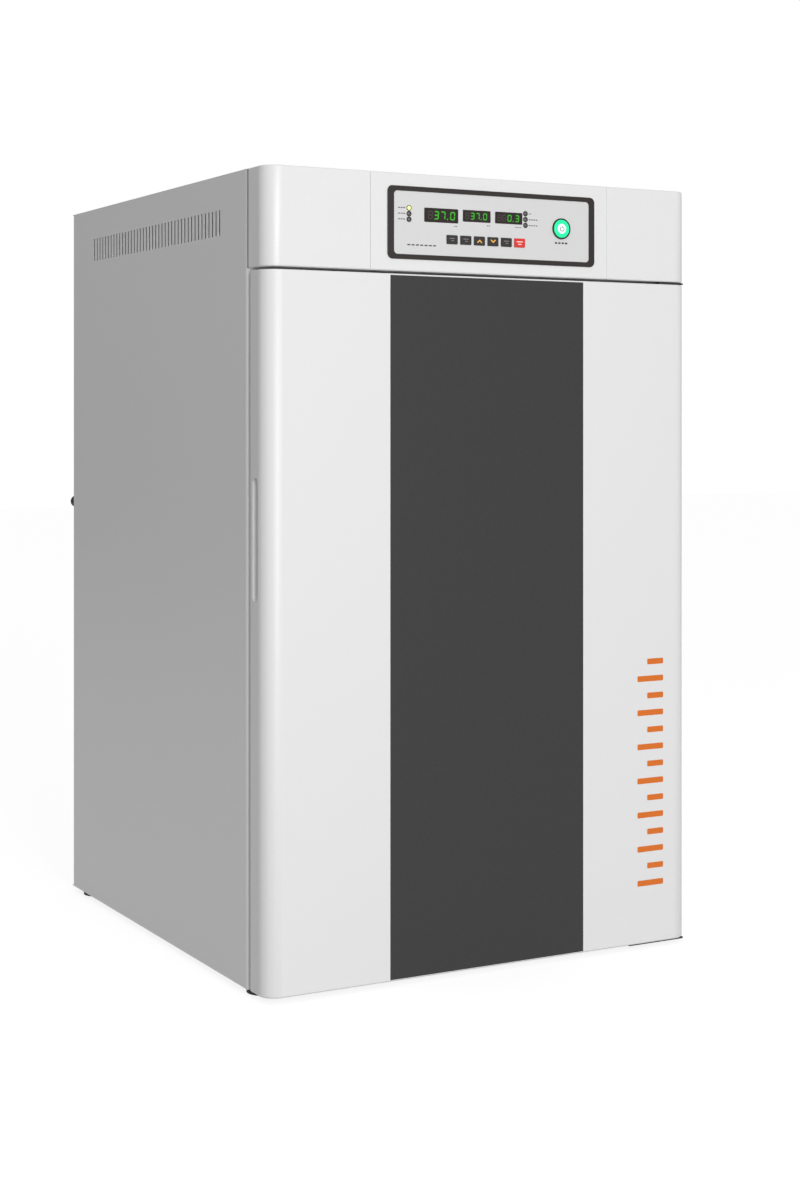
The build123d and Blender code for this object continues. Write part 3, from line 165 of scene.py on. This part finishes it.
# Edges of CAD nodes that catch the light: bend width, and the angle from which an edge is bent
bent_edges = {
    "fascia_left": 0.6,
    "fascia_centre": 0.6,
    "fascia_right": 0.6,
    "door_shell": 0.6,
    "top_panel": 0.4,
    "control_bezel": 0.4,
}
bend_angle = 35
bend_segments = 2
weld_distance = 0.002

# Materials: share of fine detail in the spots, size of the glow's spots, and its dimmest share
fine_share = 0.55
glow_size = 1.2
dim_share = 0.93

# Studio, in metres. The left side shows mostly the room light, and the front the key lamp as well.
floor_size = 12.0
floor_lift = 0.84
room_light = 0.5
lamp_power = 108.0
lamp_place = (-0.65, -4.3, 1.2)
lamp_target = (0.0, 0.0, 0.45)
lamp_size = (1.5, 2.4)


def linear(code):
    """An sRGB hex colour as linear red, green, blue and 1."""
    parts = [int(code[i : i + 2], 16) / 255 for i in (1, 3, 5)]
    return (*[p / 12.92 if p <= 0.04045 else ((p + 0.055) / 1.055) ** 2.4 for p in parts], 1.0)


def add(tree, kind, inputs=None, **settings):
    """Add one node. Inputs that are sockets become links, and others become values."""
    made = tree.nodes.new(kind)
    for name, value in settings.items():
        setattr(made, name, value)
    for name, value in (inputs or {}).items():
        if isinstance(value, bpy.types.NodeSocket):
            tree.links.new(value, made.inputs[name])
        else:
            made.inputs[name].default_value = value
    return made


def surface(name, **sockets):
    """A new material with one shader, whose constant sockets are given by name."""
    material = bpy.data.materials.new(name)
    material.use_nodes = True
    tree = material.node_tree
    shader = tree.nodes["Principled BSDF"]
    for key, value in sockets.items():
        shader.inputs[key.replace("_", " ")].default_value = value
    return material, tree, shader


def two_colours(tree, spots, colours):
    """Blend of two sRGB hex colours that follows the spots."""
    mix = add(tree, "ShaderNodeMix", {"Factor": spots.outputs["Fac"]}, data_type="RGBA")
    first, second = [socket for socket in mix.inputs if socket.type == "RGBA"]
    first.default_value = linear(colours[0])
    second.default_value = linear(colours[1])
    return next(socket for socket in mix.outputs if socket.type == "RGBA")


def structure(tree, shader, size, colours, roughness, height, stretch, detail):
    """Fine structure: spots of a size in mm vary the colour, the roughness and the height in mm."""
    place = add(tree, "ShaderNodeTexCoord")
    scaled = add(tree, "ShaderNodeMapping", {"Vector": place.outputs["Object"], "Scale": stretch})
    spots = add(
        tree,
        "ShaderNodeTexNoise",
        {
            "Vector": scaled.outputs["Vector"],
            "Scale": 1 / (size * mm),
            "Detail": detail,
            "Roughness": fine_share,
        },
    )
    tint = two_colours(tree, spots, colours)
    tree.links.new(tint, shader.inputs["Base Color"])
    dull = add(
        tree,
        "ShaderNodeMapRange",
        {"Value": spots.outputs["Fac"], "To Min": roughness[0], "To Max": roughness[1]},
    )
    tree.links.new(dull.outputs["Result"], shader.inputs["Roughness"])
    relief = add(
        tree,
        "ShaderNodeBump",
        {"Height": spots.outputs["Fac"], "Strength": 1.0, "Distance": height * mm},
    )
    tree.links.new(relief.outputs["Normal"], shader.inputs["Normal"])
    return spots


def finished(name, size, colours, roughness, height, stretch=(1, 1, 1), detail=3.0, **sockets):
    """A material with its fine structure."""
    material, tree, shader = surface(name, **sockets)
    structure(tree, shader, size, colours, roughness, height, stretch, detail)
    return material


# Powder-coated steel sheet: an even pale paint with the faint ripple of melted powder.
# The real ripple is about 1 mm wide and is drawn at 2 mm so that it shows.
powder_coat = finished("powder_coated_steel", 2.0, ("#E9E9E9", "#EDEDED"), (0.38, 0.46), 0.012, IOR=1.5)

# Moulded and painted ABS of the fascia: the same pale colour, smoother than the sheet.
fascia_abs = finished("painted_abs", 3.0, ("#EAEAEA", "#EEEEEE"), (0.34, 0.4), 0.006, IOR=1.53)

# Laminate of the door's centre panel: neutral dark grey with a faint, dull mottle.
laminate = finished(
    "dark_laminate",
    2.4,
    ("#343435", "#3E3E3F"),
    (0.5, 0.62),
    0.02,
    detail=6.0,
    IOR=1.5,
    Specular_IOR_Level=0.25,
)

# Satin ABS of the control frame: warm near-black, finely spark-eroded.
bezel_abs = finished(
    "satin_black_abs",
    0.8,
    ("#2A2524", "#322C2B"),
    (0.42, 0.52),
    0.01,
    IOR=1.53,
    Specular_IOR_Level=0.3,
)

# Printed polycarbonate overlay: flat light grey with a fine matte grain.
overlay = finished(
    "printed_polycarbonate",
    0.7,
    ("#D9D9D9", "#DEDEDE"),
    (0.45, 0.55),
    0.006,
    IOR=1.58,
    Specular_IOR_Level=0.35,
)

# Smoked acrylic windows: nearly black, smooth, faintly brown.
smoked = finished(
    "smoked_acrylic",
    1.6,
    ("#2A2321", "#352D2A"),
    (0.12, 0.2),
    0.001,
    IOR=1.49,
    Specular_IOR_Level=0.4,
)

# Moulded silicone keys: dark and matte.
dark_key = finished("dark_silicone_rubber", 0.6, ("#292726", "#353231"), (0.5, 0.62), 0.01, IOR=1.42)

# The stop key is the same silicone in signal red.
red_key = finished("red_silicone_rubber", 0.6, ("#DF3129", "#E83C33"), (0.46, 0.58), 0.01, IOR=1.42)

# Brushed stainless steel: long fine scratches that run across, with soft streaked highlights.
stainless = finished(
    "brushed_stainless_steel",
    6.0,
    ("#B9BBBC", "#D2D4D5"),
    (0.22, 0.36),
    0.006,
    stretch=(0.12, 3.0, 3.0),
    Metallic=1.0,
    Anisotropic=0.4,
)

# Galvanised sheet: large soft zinc spangles in two greys.
galvanised = finished(
    "galvanised_steel",
    14.0,
    ("#9EA3A6", "#C3C7C9"),
    (0.38, 0.55),
    0.01,
    detail=1.0,
    Metallic=1.0,
)

# Zinc-plated steel fittings: bright with a slight cloud.
zinc = finished("zinc_plated_steel", 4.0, ("#B4B7B9", "#CBCED0"), (0.25, 0.38), 0.004, Metallic=1.0)

# Steel of the hinge brackets, coloured dark as painted shade, so that the seam above the door stays dark.
hinge_steel_painted_shade = finished("hinge_steel_painted_seam_shade", 3.0, ("#434345", "#545457"), (0.45, 0.58), 0.006, Metallic=1.0)

# Die-cast aluminium: grey and grainy.
cast = finished("cast_aluminium", 1.2, ("#A3A5A7", "#B7B9BB"), (0.45, 0.6), 0.03, Metallic=1.0)

# Nickel-plated brass: warm silver, smooth.
nickel = finished("nickel_plated_brass", 3.0, ("#BDB5A0", "#CFC8B5"), (0.2, 0.3), 0.002, Metallic=1.0)

# Black rubber: dull with a dusty bloom.
rubber = finished("black_rubber", 2.0, ("#141414", "#232323"), (0.7, 0.85), 0.03, IOR=1.52)

# Cured silicone: milky and softly lit from within.
silicone = finished(
    "milky_silicone",
    3.0,
    ("#DCDCD8", "#E8E8E5"),
    (0.4, 0.5),
    0.01,
    IOR=1.41,
    Subsurface_Weight=0.25,
    Subsurface_Scale=0.004,
)

# Soft PVC of the door gasket: mid grey, slightly greasy.
pvc = finished("grey_soft_pvc", 2.5, ("#5C5E60", "#686A6C"), (0.42, 0.55), 0.01, IOR=1.53)

# White ABS mouldings: leather-like fine texture.
white_abs = finished("white_moulded_abs", 1.2, ("#E4E5E5", "#EBECEC"), (0.4, 0.5), 0.015, IOR=1.53)

# Phenolic resin of the knob: black and polished.
phenolic = finished("black_phenolic", 2.0, ("#101010", "#191919"), (0.1, 0.18), 0.002, IOR=1.6)

# Mineral wool: yellowish fibres with deep soft relief.
wool = finished(
    "mineral_wool",
    5.0,
    ("#B9A878", "#DDD0A4"),
    (0.85, 0.98),
    0.8,
    stretch=(1, 1, 3),
    detail=6.0,
    IOR=1.4,
    Sheen_Weight=0.2,
)

# Glass-fibre circuit board: green solder mask over a faint weave.
board = finished("circuit_board", 1.5, ("#1B5A34", "#236B40"), (0.25, 0.38), 0.01, IOR=1.55)

# Toughened glass: clear, faintly green, with the slight wave that its rollers leave.
glass = finished(
    "toughened_glass",
    60.0,
    ("#F5FBF8", "#FAFEFC"),
    (0.008, 0.02),
    0.01,
    detail=0.0,
    IOR=1.52,
    Transmission_Weight=1.0,
)

# Screen-printed ink of the small marks: matte dark grey.
ink = finished("grey_printing_ink", 0.6, ("#3B3938", "#474544"), (0.5, 0.65), 0.004, IOR=1.5)

# The same ink in white, on the red key.
white_ink = finished("white_printing_ink", 0.6, ("#F3D6D3", "#FBE8E6"), (0.5, 0.65), 0.004, IOR=1.5)

# The ink on the dark keys is a mid grey that stands out little.
pale_ink = finished("pale_printing_ink", 0.6, ("#8B8886", "#9A9795"), (0.5, 0.65), 0.004, IOR=1.5)

# Orange vinyl of the bars: even, with a slight film sheen.
vinyl = finished("orange_vinyl_film", 8.0, ("#DC6C12", "#E27619"), (0.35, 0.45), 0.004, IOR=1.5)


def lit(name, code, strength):
    """A lit plastic: its own colour shines a little, strongest in soft spots."""
    material, tree, shader = surface(name, IOR=1.49, Emission_Strength=strength)
    spots = structure(tree, shader, glow_size, (code, code), (0.2, 0.32), 0.002, (1, 1, 1), 3.0)
    dim = "#" + "".join(f"{int(int(code[i : i + 2], 16) * dim_share):02X}" for i in (1, 3, 5))
    glow = two_colours(tree, spots, (dim, code))
    tree.links.new(glow, shader.inputs["Emission Color"])
    return material


# Lit parts: each is a diffusing plastic over a lamp, except the lit lamp's rim and the amber ink, whose glow
# is painted light.
digit_green = lit("lit_green_segment", "#35A524", 0.4)
button_green = lit("lit_green_ring", "#1FE79A", 0.55)
button_white = lit("lit_white_cap", "#F6FFFB", 0.35)
lamp_yellow = lit("lit_yellow_dome", "#FFFF9E", 0.8)
# Yellow glow painted on the lit lamp's black rim: painted light from the lamp, not a lamp of its own.
rim_painted_glow = lit("rim_painted_lamp_glow", "#5A6218", 0.05)
# Printed amber ink of the chevrons, made to glow a little: painted brightness, as the ink is no lamp.
amber_ink_glow = lit("amber_ink_painted_glow", "#E9B155", 0.25)

# Unlit segments: the same lens as the lit ones, dark over an unlit lamp.
unlit_segment = finished("unlit_segment", 1.0, ("#3A3532", "#403B38"), (0.3, 0.4), 0.001, IOR=1.49)

# Unlit lamp domes: clear grey epoxy over a dark cup.
unlit_dome = finished("unlit_epoxy_dome", 1.0, ("#5C5859", "#696566"), (0.15, 0.25), 0.001, IOR=1.5)

node_finish = {
    "left_side_panel": powder_coat,
    "right_side_panel": powder_coat,
    "top_panel": powder_coat,
    "base_pan": powder_coat,
    "rear_panel": powder_coat,
    "front_frame": powder_coat,
    "door_shell": powder_coat,
    "fascia_left": fascia_abs,
    "fascia_centre": fascia_abs,
    "fascia_right": fascia_abs,
    "door_panel": laminate,
    "control_bezel": bezel_abs,
    "power_switch": bezel_abs,
    "mains_inlet": bezel_abs,
    "control_face": overlay,
    "display_windows": smoked,
    "display_board": board,
    "main_board": board,
    "indicator_lights": unlit_dome,
    "power_button": button_green,
    "key_menu": dark_key,
    "key_set": dark_key,
    "key_up": dark_key,
    "key_down": dark_key,
    "key_mute": dark_key,
    "key_stop": red_key,
    "chamber": stainless,
    "shelf_racks": stainless,
    "fan_cover": stainless,
    "fan_impeller": stainless,
    "lower_shelf": stainless,
    "upper_shelf": stainless,
    "water_pan": stainless,
    "temperature_probe": stainless,
    "co2_sensor": stainless,
    "bay_floor": galvanised,
    "power_supply": galvanised,
    # The hinge brackets carry the painted seam shade.
    "hinge_brackets": hinge_steel_painted_shade,
    "glass_hinge_leaves": zinc,
    "glass_hinge_frame_leaves": zinc,
    "turn_latch": zinc,
    "fan_motor": cast,
    "gas_valve": cast,
    "co2_inlet": nickel,
    "feet": rubber,
    "rear_spacers": rubber,
    "chamber_seal": silicone,
    "port_plug": silicone,
    "gas_pipes": silicone,
    "door_gasket": pvc,
    "door_liner": white_abs,
    "port_sleeve": white_abs,
    "gas_filter": white_abs,
    "glass_knob": phenolic,
    "insulation": wool,
    "door_insulation": wool,
    "glass_door": glass,
}
for name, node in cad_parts.items():
    node.data.materials.clear()
    node.data.materials.append(node_finish[name])


def round_edges(name, width):
    """Small bend radius in mm on the sharp edges of a CAD node, so that they catch the light."""
    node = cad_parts[name]
    weld = node.modifiers.new("weld", "WELD")
    weld.merge_threshold = weld_distance * mm
    bevel = node.modifiers.new("bevel", "BEVEL")
    bevel.width = width * mm
    bevel.segments = bend_segments
    bevel.limit_method = "ANGLE"
    bevel.angle_limit = math.radians(bend_angle)
    bevel.harden_normals = True


for name, width in bent_edges.items():
    round_edges(name, width)


def piece(name, mesh, material, body):
    """A finished mesh becomes a piece that rides on a body."""
    data = bpy.data.meshes.new(name)
    bmesh.ops.recalc_face_normals(mesh, faces=mesh.faces)
    mesh.to_mesh(data)
    mesh.free()
    made = bpy.data.objects.new(name, data)
    bpy.context.scene.collection.objects.link(made)
    data.materials.append(material)
    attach(made, body)
    return made


def slab(mesh, outline, front, back):
    """A flat shape, given by its x and z outline in mm, between two depths in mm."""
    near = [mesh.verts.new((x * mm, front * mm, z * mm)) for x, z in outline]
    far = [mesh.verts.new((x * mm, back * mm, z * mm)) for x, z in outline]
    mesh.faces.new(near)
    mesh.faces.new(far[::-1])
    for i in range(len(outline)):
        j = (i + 1) % len(outline)
        mesh.faces.new((near[i], near[j], far[j], far[i]))


def prints(name, outlines, front, material, body, thickness=print_thickness):
    """Several flat shapes printed or laid on a face, as one piece."""
    mesh = bmesh.new()
    for outline in outlines:
        slab(mesh, outline, front - thickness, front)
    return piece(name, mesh, material, body)


def rounded(x, z, radius, steps):
    """Outline of a rounded rectangle between two x and two z values."""
    points = []
    corners = ((x[1], z[1], 0), (x[0], z[1], 90), (x[0], z[0], 180), (x[1], z[0], 270))
    for cx, cz, start in corners:
        mx = cx - radius if cx == x[1] else cx + radius
        mz = cz - radius if cz == z[1] else cz + radius
        for i in range(steps + 1):
            a = math.radians(start + 90 * i / steps)
            points.append((mx + radius * math.cos(a), mz + radius * math.sin(a)))
    return points


def stepped(profile, start, way):
    """A turned profile with its heights laid off from a depth, forwards or backwards."""
    return [(radius, start + way * height) for radius, height in profile]


def turned(mesh, x, z, profile, steps):
    """A shape turned about a front-to-back axis. The profile is radius and depth in mm."""
    rings = []
    for radius, y in profile:
        if radius == 0:
            rings.append([mesh.verts.new((x * mm, y * mm, z * mm))])
            continue
        ring = []
        for i in range(steps):
            a = 2 * math.pi * i / steps
            point = ((x + radius * math.cos(a)) * mm, y * mm, (z + radius * math.sin(a)) * mm)
            ring.append(mesh.verts.new(point))
        rings.append(ring)
    for first, second in zip(rings, rings[1:]):
        for i in range(steps):
            j = (i + 1) % steps
            corners = [ring[k % len(ring)] for ring, k in ((first, i), (first, j), (second, j), (second, i))]
            mesh.faces.new(list(dict.fromkeys(corners)))


def smooth(made, angle=40.0):
    """Shade a piece smooth, but keep edges sharper than an angle in degrees."""
    mesh = bmesh.new()
    mesh.from_mesh(made.data)
    for face in mesh.faces:
        face.smooth = True
    for edge in mesh.edges:
        edge.smooth = edge.calc_face_angle(0.0) < math.radians(angle)
    mesh.to_mesh(made.data)
    mesh.free()
    return made


# Places on the control face, in mm
face_low, face_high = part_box("control_face")
face_left = face_low.x / mm + face_lap
face_right = face_high.x / mm - face_lap
face_bottom = face_low.z / mm + face_lap
face_front = face_low.y / mm
door_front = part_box("door_panel")[0].y / mm
key_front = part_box("key_up")[0].y / mm
button_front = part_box("power_button")[0].y / mm

segment_ends = {
    "a": ((0, 1), (1, 1)),
    "b": ((1, 1), (1, 0.5)),
    "c": ((1, 0.5), (1, 0)),
    "d": ((0, 0), (1, 0)),
    "e": ((0, 0.5), (0, 0)),
    "f": ((0, 1), (0, 0.5)),
    "g": ((0, 0.5), (1, 0.5)),
}
lit_segments = {"0": "abcdef", "3": "abcdg", "7": "abc", "8": "abcdefg"}


def digit(sign, middle, low, height, width):
    """Outlines of a sign's lit segments, or of the decimal point."""
    stroke = height * stroke_share
    if sign == ".":
        half = stroke / 2
        return [rounded((middle - half, middle + half), (low, low + stroke), half * 0.5, 3)]
    outlines = []
    for segment in lit_segments[sign]:
        (ax, az), (bx, bz) = segment_ends[segment]
        ends = []
        for u, v in ((ax, az), (bx, bz)):
            x = middle + (u - 0.5) * (width - stroke)
            z = low + stroke / 2 + v * (height - stroke)
            ends.append((x, z))
        (x0, z0), (x1, z1) = ends
        length = math.hypot(x1 - x0, z1 - z0)
        ux, uz = (x1 - x0) / length, (z1 - z0) / length
        nx, nz = -uz * stroke / 2, ux * stroke / 2
        tip, shoulder = 0.05 * stroke, 0.5 * stroke
        points = (
            (x0 + ux * tip, z0 + uz * tip),
            (x0 + ux * shoulder + nx, z0 + uz * shoulder + nz),
            (x1 - ux * shoulder + nx, z1 - uz * shoulder + nz),
            (x1 - ux * tip, z1 - uz * tip),
            (x1 - ux * shoulder - nx, z1 - uz * shoulder - nz),
            (x0 + ux * shoulder - nx, z0 + uz * shoulder - nz),
        )
        outlines.append([(x + (z - low) * digit_slant, z) for x, z in points])
    return outlines


def make_readings():
    """Green seven-segment readings in the three windows, with unlit digits before them."""
    left = face_left + window_left
    top = face_bottom + window_top
    for i, (signs, places, height, width) in enumerate(readings):
        right = left + window_widths[i]
        low = top - window_heights[i] / 2 - height / 2
        outlines = []
        for sign, place in zip(signs, places):
            outlines += digit(sign, right - place, low, height, width)
        prints(f"reading_{i + 1}", outlines, face_front, digit_green, "cabinet")
        unlit = []
        for place in unlit_places[i]:
            unlit += digit("8", right - place, low, height, width)
        prints(f"unlit_digits_{i + 1}", unlit, face_front, unlit_segment, "cabinet")
        left = right + window_gap


def make_lamps():
    """Six indicator lamps: a raised rim round a small dome. Only the upper left one is lit."""
    lit_mesh, rim_mesh, dome_mesh = bmesh.new(), bmesh.new(), bmesh.new()
    painted_glow_rim_mesh = bmesh.new()
    for column, (x, z, pitch) in enumerate((left_light, right_light)):
        for row in range(lamps_in_column):
            lit_one = (column, row) == lit_lamp
            px, pz = face_left + x, face_bottom + z + row * pitch
            rim = stepped(rim_profile, face_front, -1)
            turned(painted_glow_rim_mesh if lit_one else rim_mesh, px, pz, rim, lamp_steps)
            dome = stepped(dome_profile, face_front, -1)
            turned(lit_mesh if lit_one else dome_mesh, px, pz, dome, lamp_steps)
    rims = smooth(piece("lamp_rims", rim_mesh, bezel_abs, "cabinet"))
    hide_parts("indicator_lights")
    smooth(piece("lamp_domes", dome_mesh, unlit_dome, "cabinet"))
    # The lit lamp's rim gets the painted glow instead of the black bezel finish.
    smooth(piece("lamp_rim_painted_glow", painted_glow_rim_mesh, rim_painted_glow, "cabinet"))
    smooth(piece("lit_lamp_dome", lit_mesh, lamp_yellow, "cabinet"))


def arc(x, z, radius, stroke, start, end, steps):
    """Outlines of a ring's part, one short piece after the other."""
    outlines = []
    for i in range(steps):
        angles = [math.radians(start + (end - start) * (i + k) / steps) for k in (0, 1)]
        sides = []
        for r in (radius + stroke / 2, radius - stroke / 2):
            sides.append([(x + r * math.cos(a), z + r * math.sin(a)) for a in angles])
        outer, inner = sides
        outlines.append([outer[0], outer[1], inner[1], inner[0]])
    return outlines


def make_power_button():
    """Power button: a glowing green ring with rolled edges round a domed white middle."""
    x, z = face_right - power_from_right, face_bottom + power_z
    mesh = bmesh.new()
    turned(mesh, x, z, stepped(ring_front + ring_inside, button_front, 1), button_steps)
    made = smooth(piece("button_ring", mesh, button_green, "power"))
    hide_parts("power_button")
    mesh = bmesh.new()
    turned(mesh, x, z, stepped(cap_profile, button_front, 1), button_steps)
    smooth(piece("button_cap", mesh, button_white, "power"))
    half = sign_stroke / 2
    low, high = z + sign_bar[0], z + sign_bar[1]
    symbol = arc(x, z - sign_drop, sign_radius, sign_stroke, *sign_angles, sign_steps)
    symbol.append([(x - half, low), (x + half, low), (x + half, high), (x - half, high)])
    prints("button_symbol", symbol, button_front + sign_lift, ink, "power")
    collar = stepped(collar_profile, button_front, 1)
    collar = [(collar_foot[0], face_front), *collar, (collar_foot[1], face_front)]
    mesh = bmesh.new()
    turned(mesh, x, z, collar, button_steps)
    smooth(piece("button_collar", mesh, bezel_abs, "cabinet"))


def key_middle(name):
    """Middle of one key."""
    return face_left + key_first_x + key_names.index(name) * key_pitch, face_bottom + key_z


def key_stroke_outlines(name, strokes, corner):
    """Outlines of a key's plain strokes."""
    x, z = key_middle(name)
    return [rounded((x + a, x + b), (z + c, z + d), corner, 2) for a, b, c, d in strokes]


def make_key_marks():
    """Marks on the keys: chevrons on the middle two, plain strokes on the others."""
    for name, way in (("key_up", 1), ("key_down", -1)):
        x, z = key_middle(name)
        end_x = chevron_half - chevron_stroke * chevron_end_shares[0]
        end_z = chevron_rise + chevron_stroke * chevron_end_shares[1]
        inner_tip = chevron_rise - chevron_stroke * chevron_tip_share
        wings = []
        for side in (-1, 1):
            outer_end = (x + side * chevron_half, z - way * chevron_rise)
            outer_peak = (x, z + way * chevron_rise)
            inner_peak = (x, z + way * inner_tip)
            inner_end = (x + side * end_x, z - way * end_z)
            wings.append([outer_end, outer_peak, inner_peak, inner_end])
        prints(f"{name}_chevron", wings, key_front, amber_ink_glow, f"{name}_cap")
    for name in ("key_menu", "key_set", "key_mute"):
        strokes = key_stroke_outlines(name, dark_key_strokes, dark_stroke_corner)
        prints(f"{name}_strokes", strokes, key_front, pale_ink, f"{name}_cap")
    strokes = key_stroke_outlines("key_stop", stop_key_strokes, stop_stroke_corner)
    prints("key_stop_strokes", strokes, key_front, white_ink, "key_stop_cap")


def dashes(x, z, height, gap, count):
    """A row of plain dashes that fills a stretch."""
    width = (x[1] - x[0] - gap * (count - 1)) / count
    made = []
    for i in range(count):
        left = x[0] + i * (width + gap)
        span = (z - height / 2, z + height / 2)
        made.append(rounded((left, left + width), span, height * dash_corner_share, 2))
    return made


def make_legends():
    """Plain dashes beside the lamps, under the windows and the button, and at the face's foot."""
    left_x = face_left + left_light[0]
    right_x = face_left + right_light[0]
    outlines = []
    for row in range(lamps_in_column):
        start, end, count = left_dashes
        z = face_bottom + left_light[1] + row * left_light[2]
        outlines += dashes((left_x - start, left_x - end), z, lamp_dash_height, lamp_dash_gap, count)
        reach, count = right_dashes[row]
        z = face_bottom + right_light[1] + row * right_light[2]
        stretch = (right_x + right_dashes_start, right_x + reach)
        outlines += dashes(stretch, z, lamp_dash_height, lamp_dash_gap, count)
    for window, start, end, height, gap, count in window_dashes:
        z = face_bottom + window_top - window_heights[window] - below_window
        outlines += dashes((face_left + start, face_left + end), z, height, gap, count)
    start, end, z, height, gap, count = foot_dashes
    outlines += dashes((face_left + start, face_left + end), face_bottom + z, height, gap, count)
    start, end, z, height, gap, count = button_dashes
    outlines += dashes((face_right - start, face_right - end), face_bottom + z, height, gap, count)
    prints("legend_dashes", outlines, face_front, ink, "cabinet", legend_thickness)


def make_door_bars():
    """Plain orange bars up the right of the door, long and short in turn."""
    outlines = []
    pitch = (bars_high - bars_low - bar_height) / (bar_count - 1)
    short_left = bars_right - (bars_right - bars_left) * short_bar_share
    for i in range(bar_count):
        low = bars_low + i * pitch
        left = bars_left if i % 2 == 0 else short_left
        outlines.append(rounded((left, bars_right), (low, low + bar_height), bar_corner, 4))
    prints("door_bars", outlines, door_front, vinyl, "outer_door", bar_thickness)


def hexagon(x, z, radius):
    """Outline of a hexagon."""
    angles = [math.radians(60 * i) for i in range(6)]
    return [(x + radius * math.cos(a), z + radius * math.sin(a)) for a in angles]


def make_screws():
    """Hexagon-head screws up both sides of the rear, and the screw in the turn latch."""
    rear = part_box("left_side_panel")[1].y / mm
    mesh = bmesh.new()
    for side in (-1, 1):
        for row in range(rear_screw_rows):
            x, z = side * rear_screw_x, rear_screw_low + row * rear_screw_pitch
            turned(mesh, x, z, stepped(washer_profile, rear, 1), 32)
            slab(mesh, hexagon(x, z, head_radius), rear + head_span[0], rear + head_span[1])
            turned(mesh, x, z, stepped(crown_profile, rear, 1), 24)
    smooth(piece("rear_screws", mesh, zinc, "cabinet"), 30)
    low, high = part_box("turn_latch")
    x = (low.x + high.x) / 2 / mm
    z = high.z / mm - latch_screw_drop
    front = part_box("front_frame")[0].y / mm
    mesh = bmesh.new()
    turned(mesh, x, z, stepped(latch_screw_profile, front, -1), 40)
    smooth(piece("latch_screw", mesh, zinc, "cabinet"))


def make_seam_shade_strips():
    """Dark strips in the seams between the fascia's ends and the side panels: painted shade, where the seams
    hold only shadow.
    """
    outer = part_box("left_side_panel")[0].x / mm
    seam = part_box("left_side_panel")[0].y / mm
    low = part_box("fascia_left")[0].z / mm
    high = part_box("fascia_left")[1].z / mm - shade_strip_top_gap
    mesh = bmesh.new()
    for side in (1, -1):
        rings = []
        for z in (low, high):
            points = [(side * (outer + a) * mm, (seam + b) * mm, z * mm) for a, b in shade_strip_section]
            rings.append([mesh.verts.new(point) for point in points])
        mesh.faces.new(rings[0])
        mesh.faces.new(rings[1][::-1])
        for i in range(len(shade_strip_section)):
            j = (i + 1) % len(shade_strip_section)
            mesh.faces.new((rings[0][i], rings[0][j], rings[1][j], rings[1][i]))
    # The black rubber finish here paints the seams' shade.
    piece("seam_shade_strips", mesh, rubber, "cabinet")


make_seam_shade_strips()
make_readings()
make_lamps()
make_power_button()
make_key_marks()
make_legends()
make_door_bars()
make_screws()


def make_floor():
    """Pale floor that shows white where it is lit and keeps the machine's soft shadow."""
    mesh = bmesh.new()
    bmesh.ops.create_grid(mesh, x_segments=8, y_segments=8, size=floor_size)
    data = bpy.data.meshes.new("floor")
    mesh.to_mesh(data)
    mesh.free()
    floor = bpy.data.objects.new("floor", data)
    bpy.context.scene.collection.objects.link(floor)
    material = bpy.data.materials.new("pale_floor")
    material.use_nodes = True
    tree = material.node_tree
    tree.nodes.clear()
    path = add(tree, "ShaderNodeLightPath")
    seen = add(
        tree,
        "ShaderNodeMath",
        {0: path.outputs["Is Camera Ray"], 1: path.outputs["Is Glossy Ray"]},
        operation="ADD",
    )
    seen = add(
        tree,
        "ShaderNodeMath",
        {0: seen.outputs[0], 1: path.outputs["Is Transmission Ray"]},
        operation="ADD",
        use_clamp=True,
    )
    strength = add(tree, "ShaderNodeMath", {0: seen.outputs[0], 1: floor_lift}, operation="MULTIPLY")
    shine = add(tree, "ShaderNodeEmission", {"Strength": strength.outputs[0]})
    matte = add(tree, "ShaderNodeBsdfDiffuse", {"Color": linear("#929292")})
    both = add(tree, "ShaderNodeAddShader", {0: shine.outputs[0], 1: matte.outputs[0]})
    add(tree, "ShaderNodeOutputMaterial", {"Surface": both.outputs[0]})
    data.materials.append(material)


def make_world():
    """White to the camera and through glass, and a plain soft light to everything else."""
    world = bpy.data.worlds.new("studio")
    bpy.context.scene.world = world
    world.use_nodes = True
    tree = world.node_tree
    tree.nodes.clear()
    path = add(tree, "ShaderNodeLightPath")
    seen = add(
        tree,
        "ShaderNodeMath",
        {0: path.outputs["Is Camera Ray"], 1: path.outputs["Is Transmission Ray"]},
        operation="ADD",
        use_clamp=True,
    )
    strength = add(
        tree,
        "ShaderNodeMapRange",
        {"Value": seen.outputs[0], "To Min": room_light, "To Max": 1.0},
    )
    sky = add(
        tree,
        "ShaderNodeBackground",
        {"Color": linear("#FFFFFF"), "Strength": strength.outputs["Result"]},
    )
    add(tree, "ShaderNodeOutputWorld", {"Surface": sky.outputs[0]})


def make_lamp_panel(name, place, target, size, power):
    """A large soft lamp that faces a point."""
    light = bpy.data.lights.new(name, "AREA")
    light.shape = "RECTANGLE"
    light.size, light.size_y = size
    light.energy = power
    made = bpy.data.objects.new(name, light)
    bpy.context.scene.collection.objects.link(made)
    made.location = place
    way = Vector(target) - Vector(place)
    made.rotation_euler = way.to_track_quat("-Z", "Y").to_euler()


def make_camera():
    """Camera at the photograph's place. Its shift only frames the picture as the photograph does."""
    data = bpy.data.cameras.new("camera")
    data.sensor_width = sensor_size
    data.lens = sensor_size * focal_px / photo_height
    data.shift_y = (horizon_px - photo_height / 2) / photo_height
    made = bpy.data.objects.new("camera", data)
    bpy.context.scene.collection.objects.link(made)
    made.location = [v * mm for v in camera_place]
    made.rotation_euler = (math.radians(90), 0, -math.radians(camera_turn))
    bpy.context.scene.camera = made


make_floor()
make_world()
make_lamp_panel("key_lamp", lamp_place, lamp_target, lamp_size, lamp_power)
make_camera()
bpy.context.scene.view_settings.view_transform = "Standard"
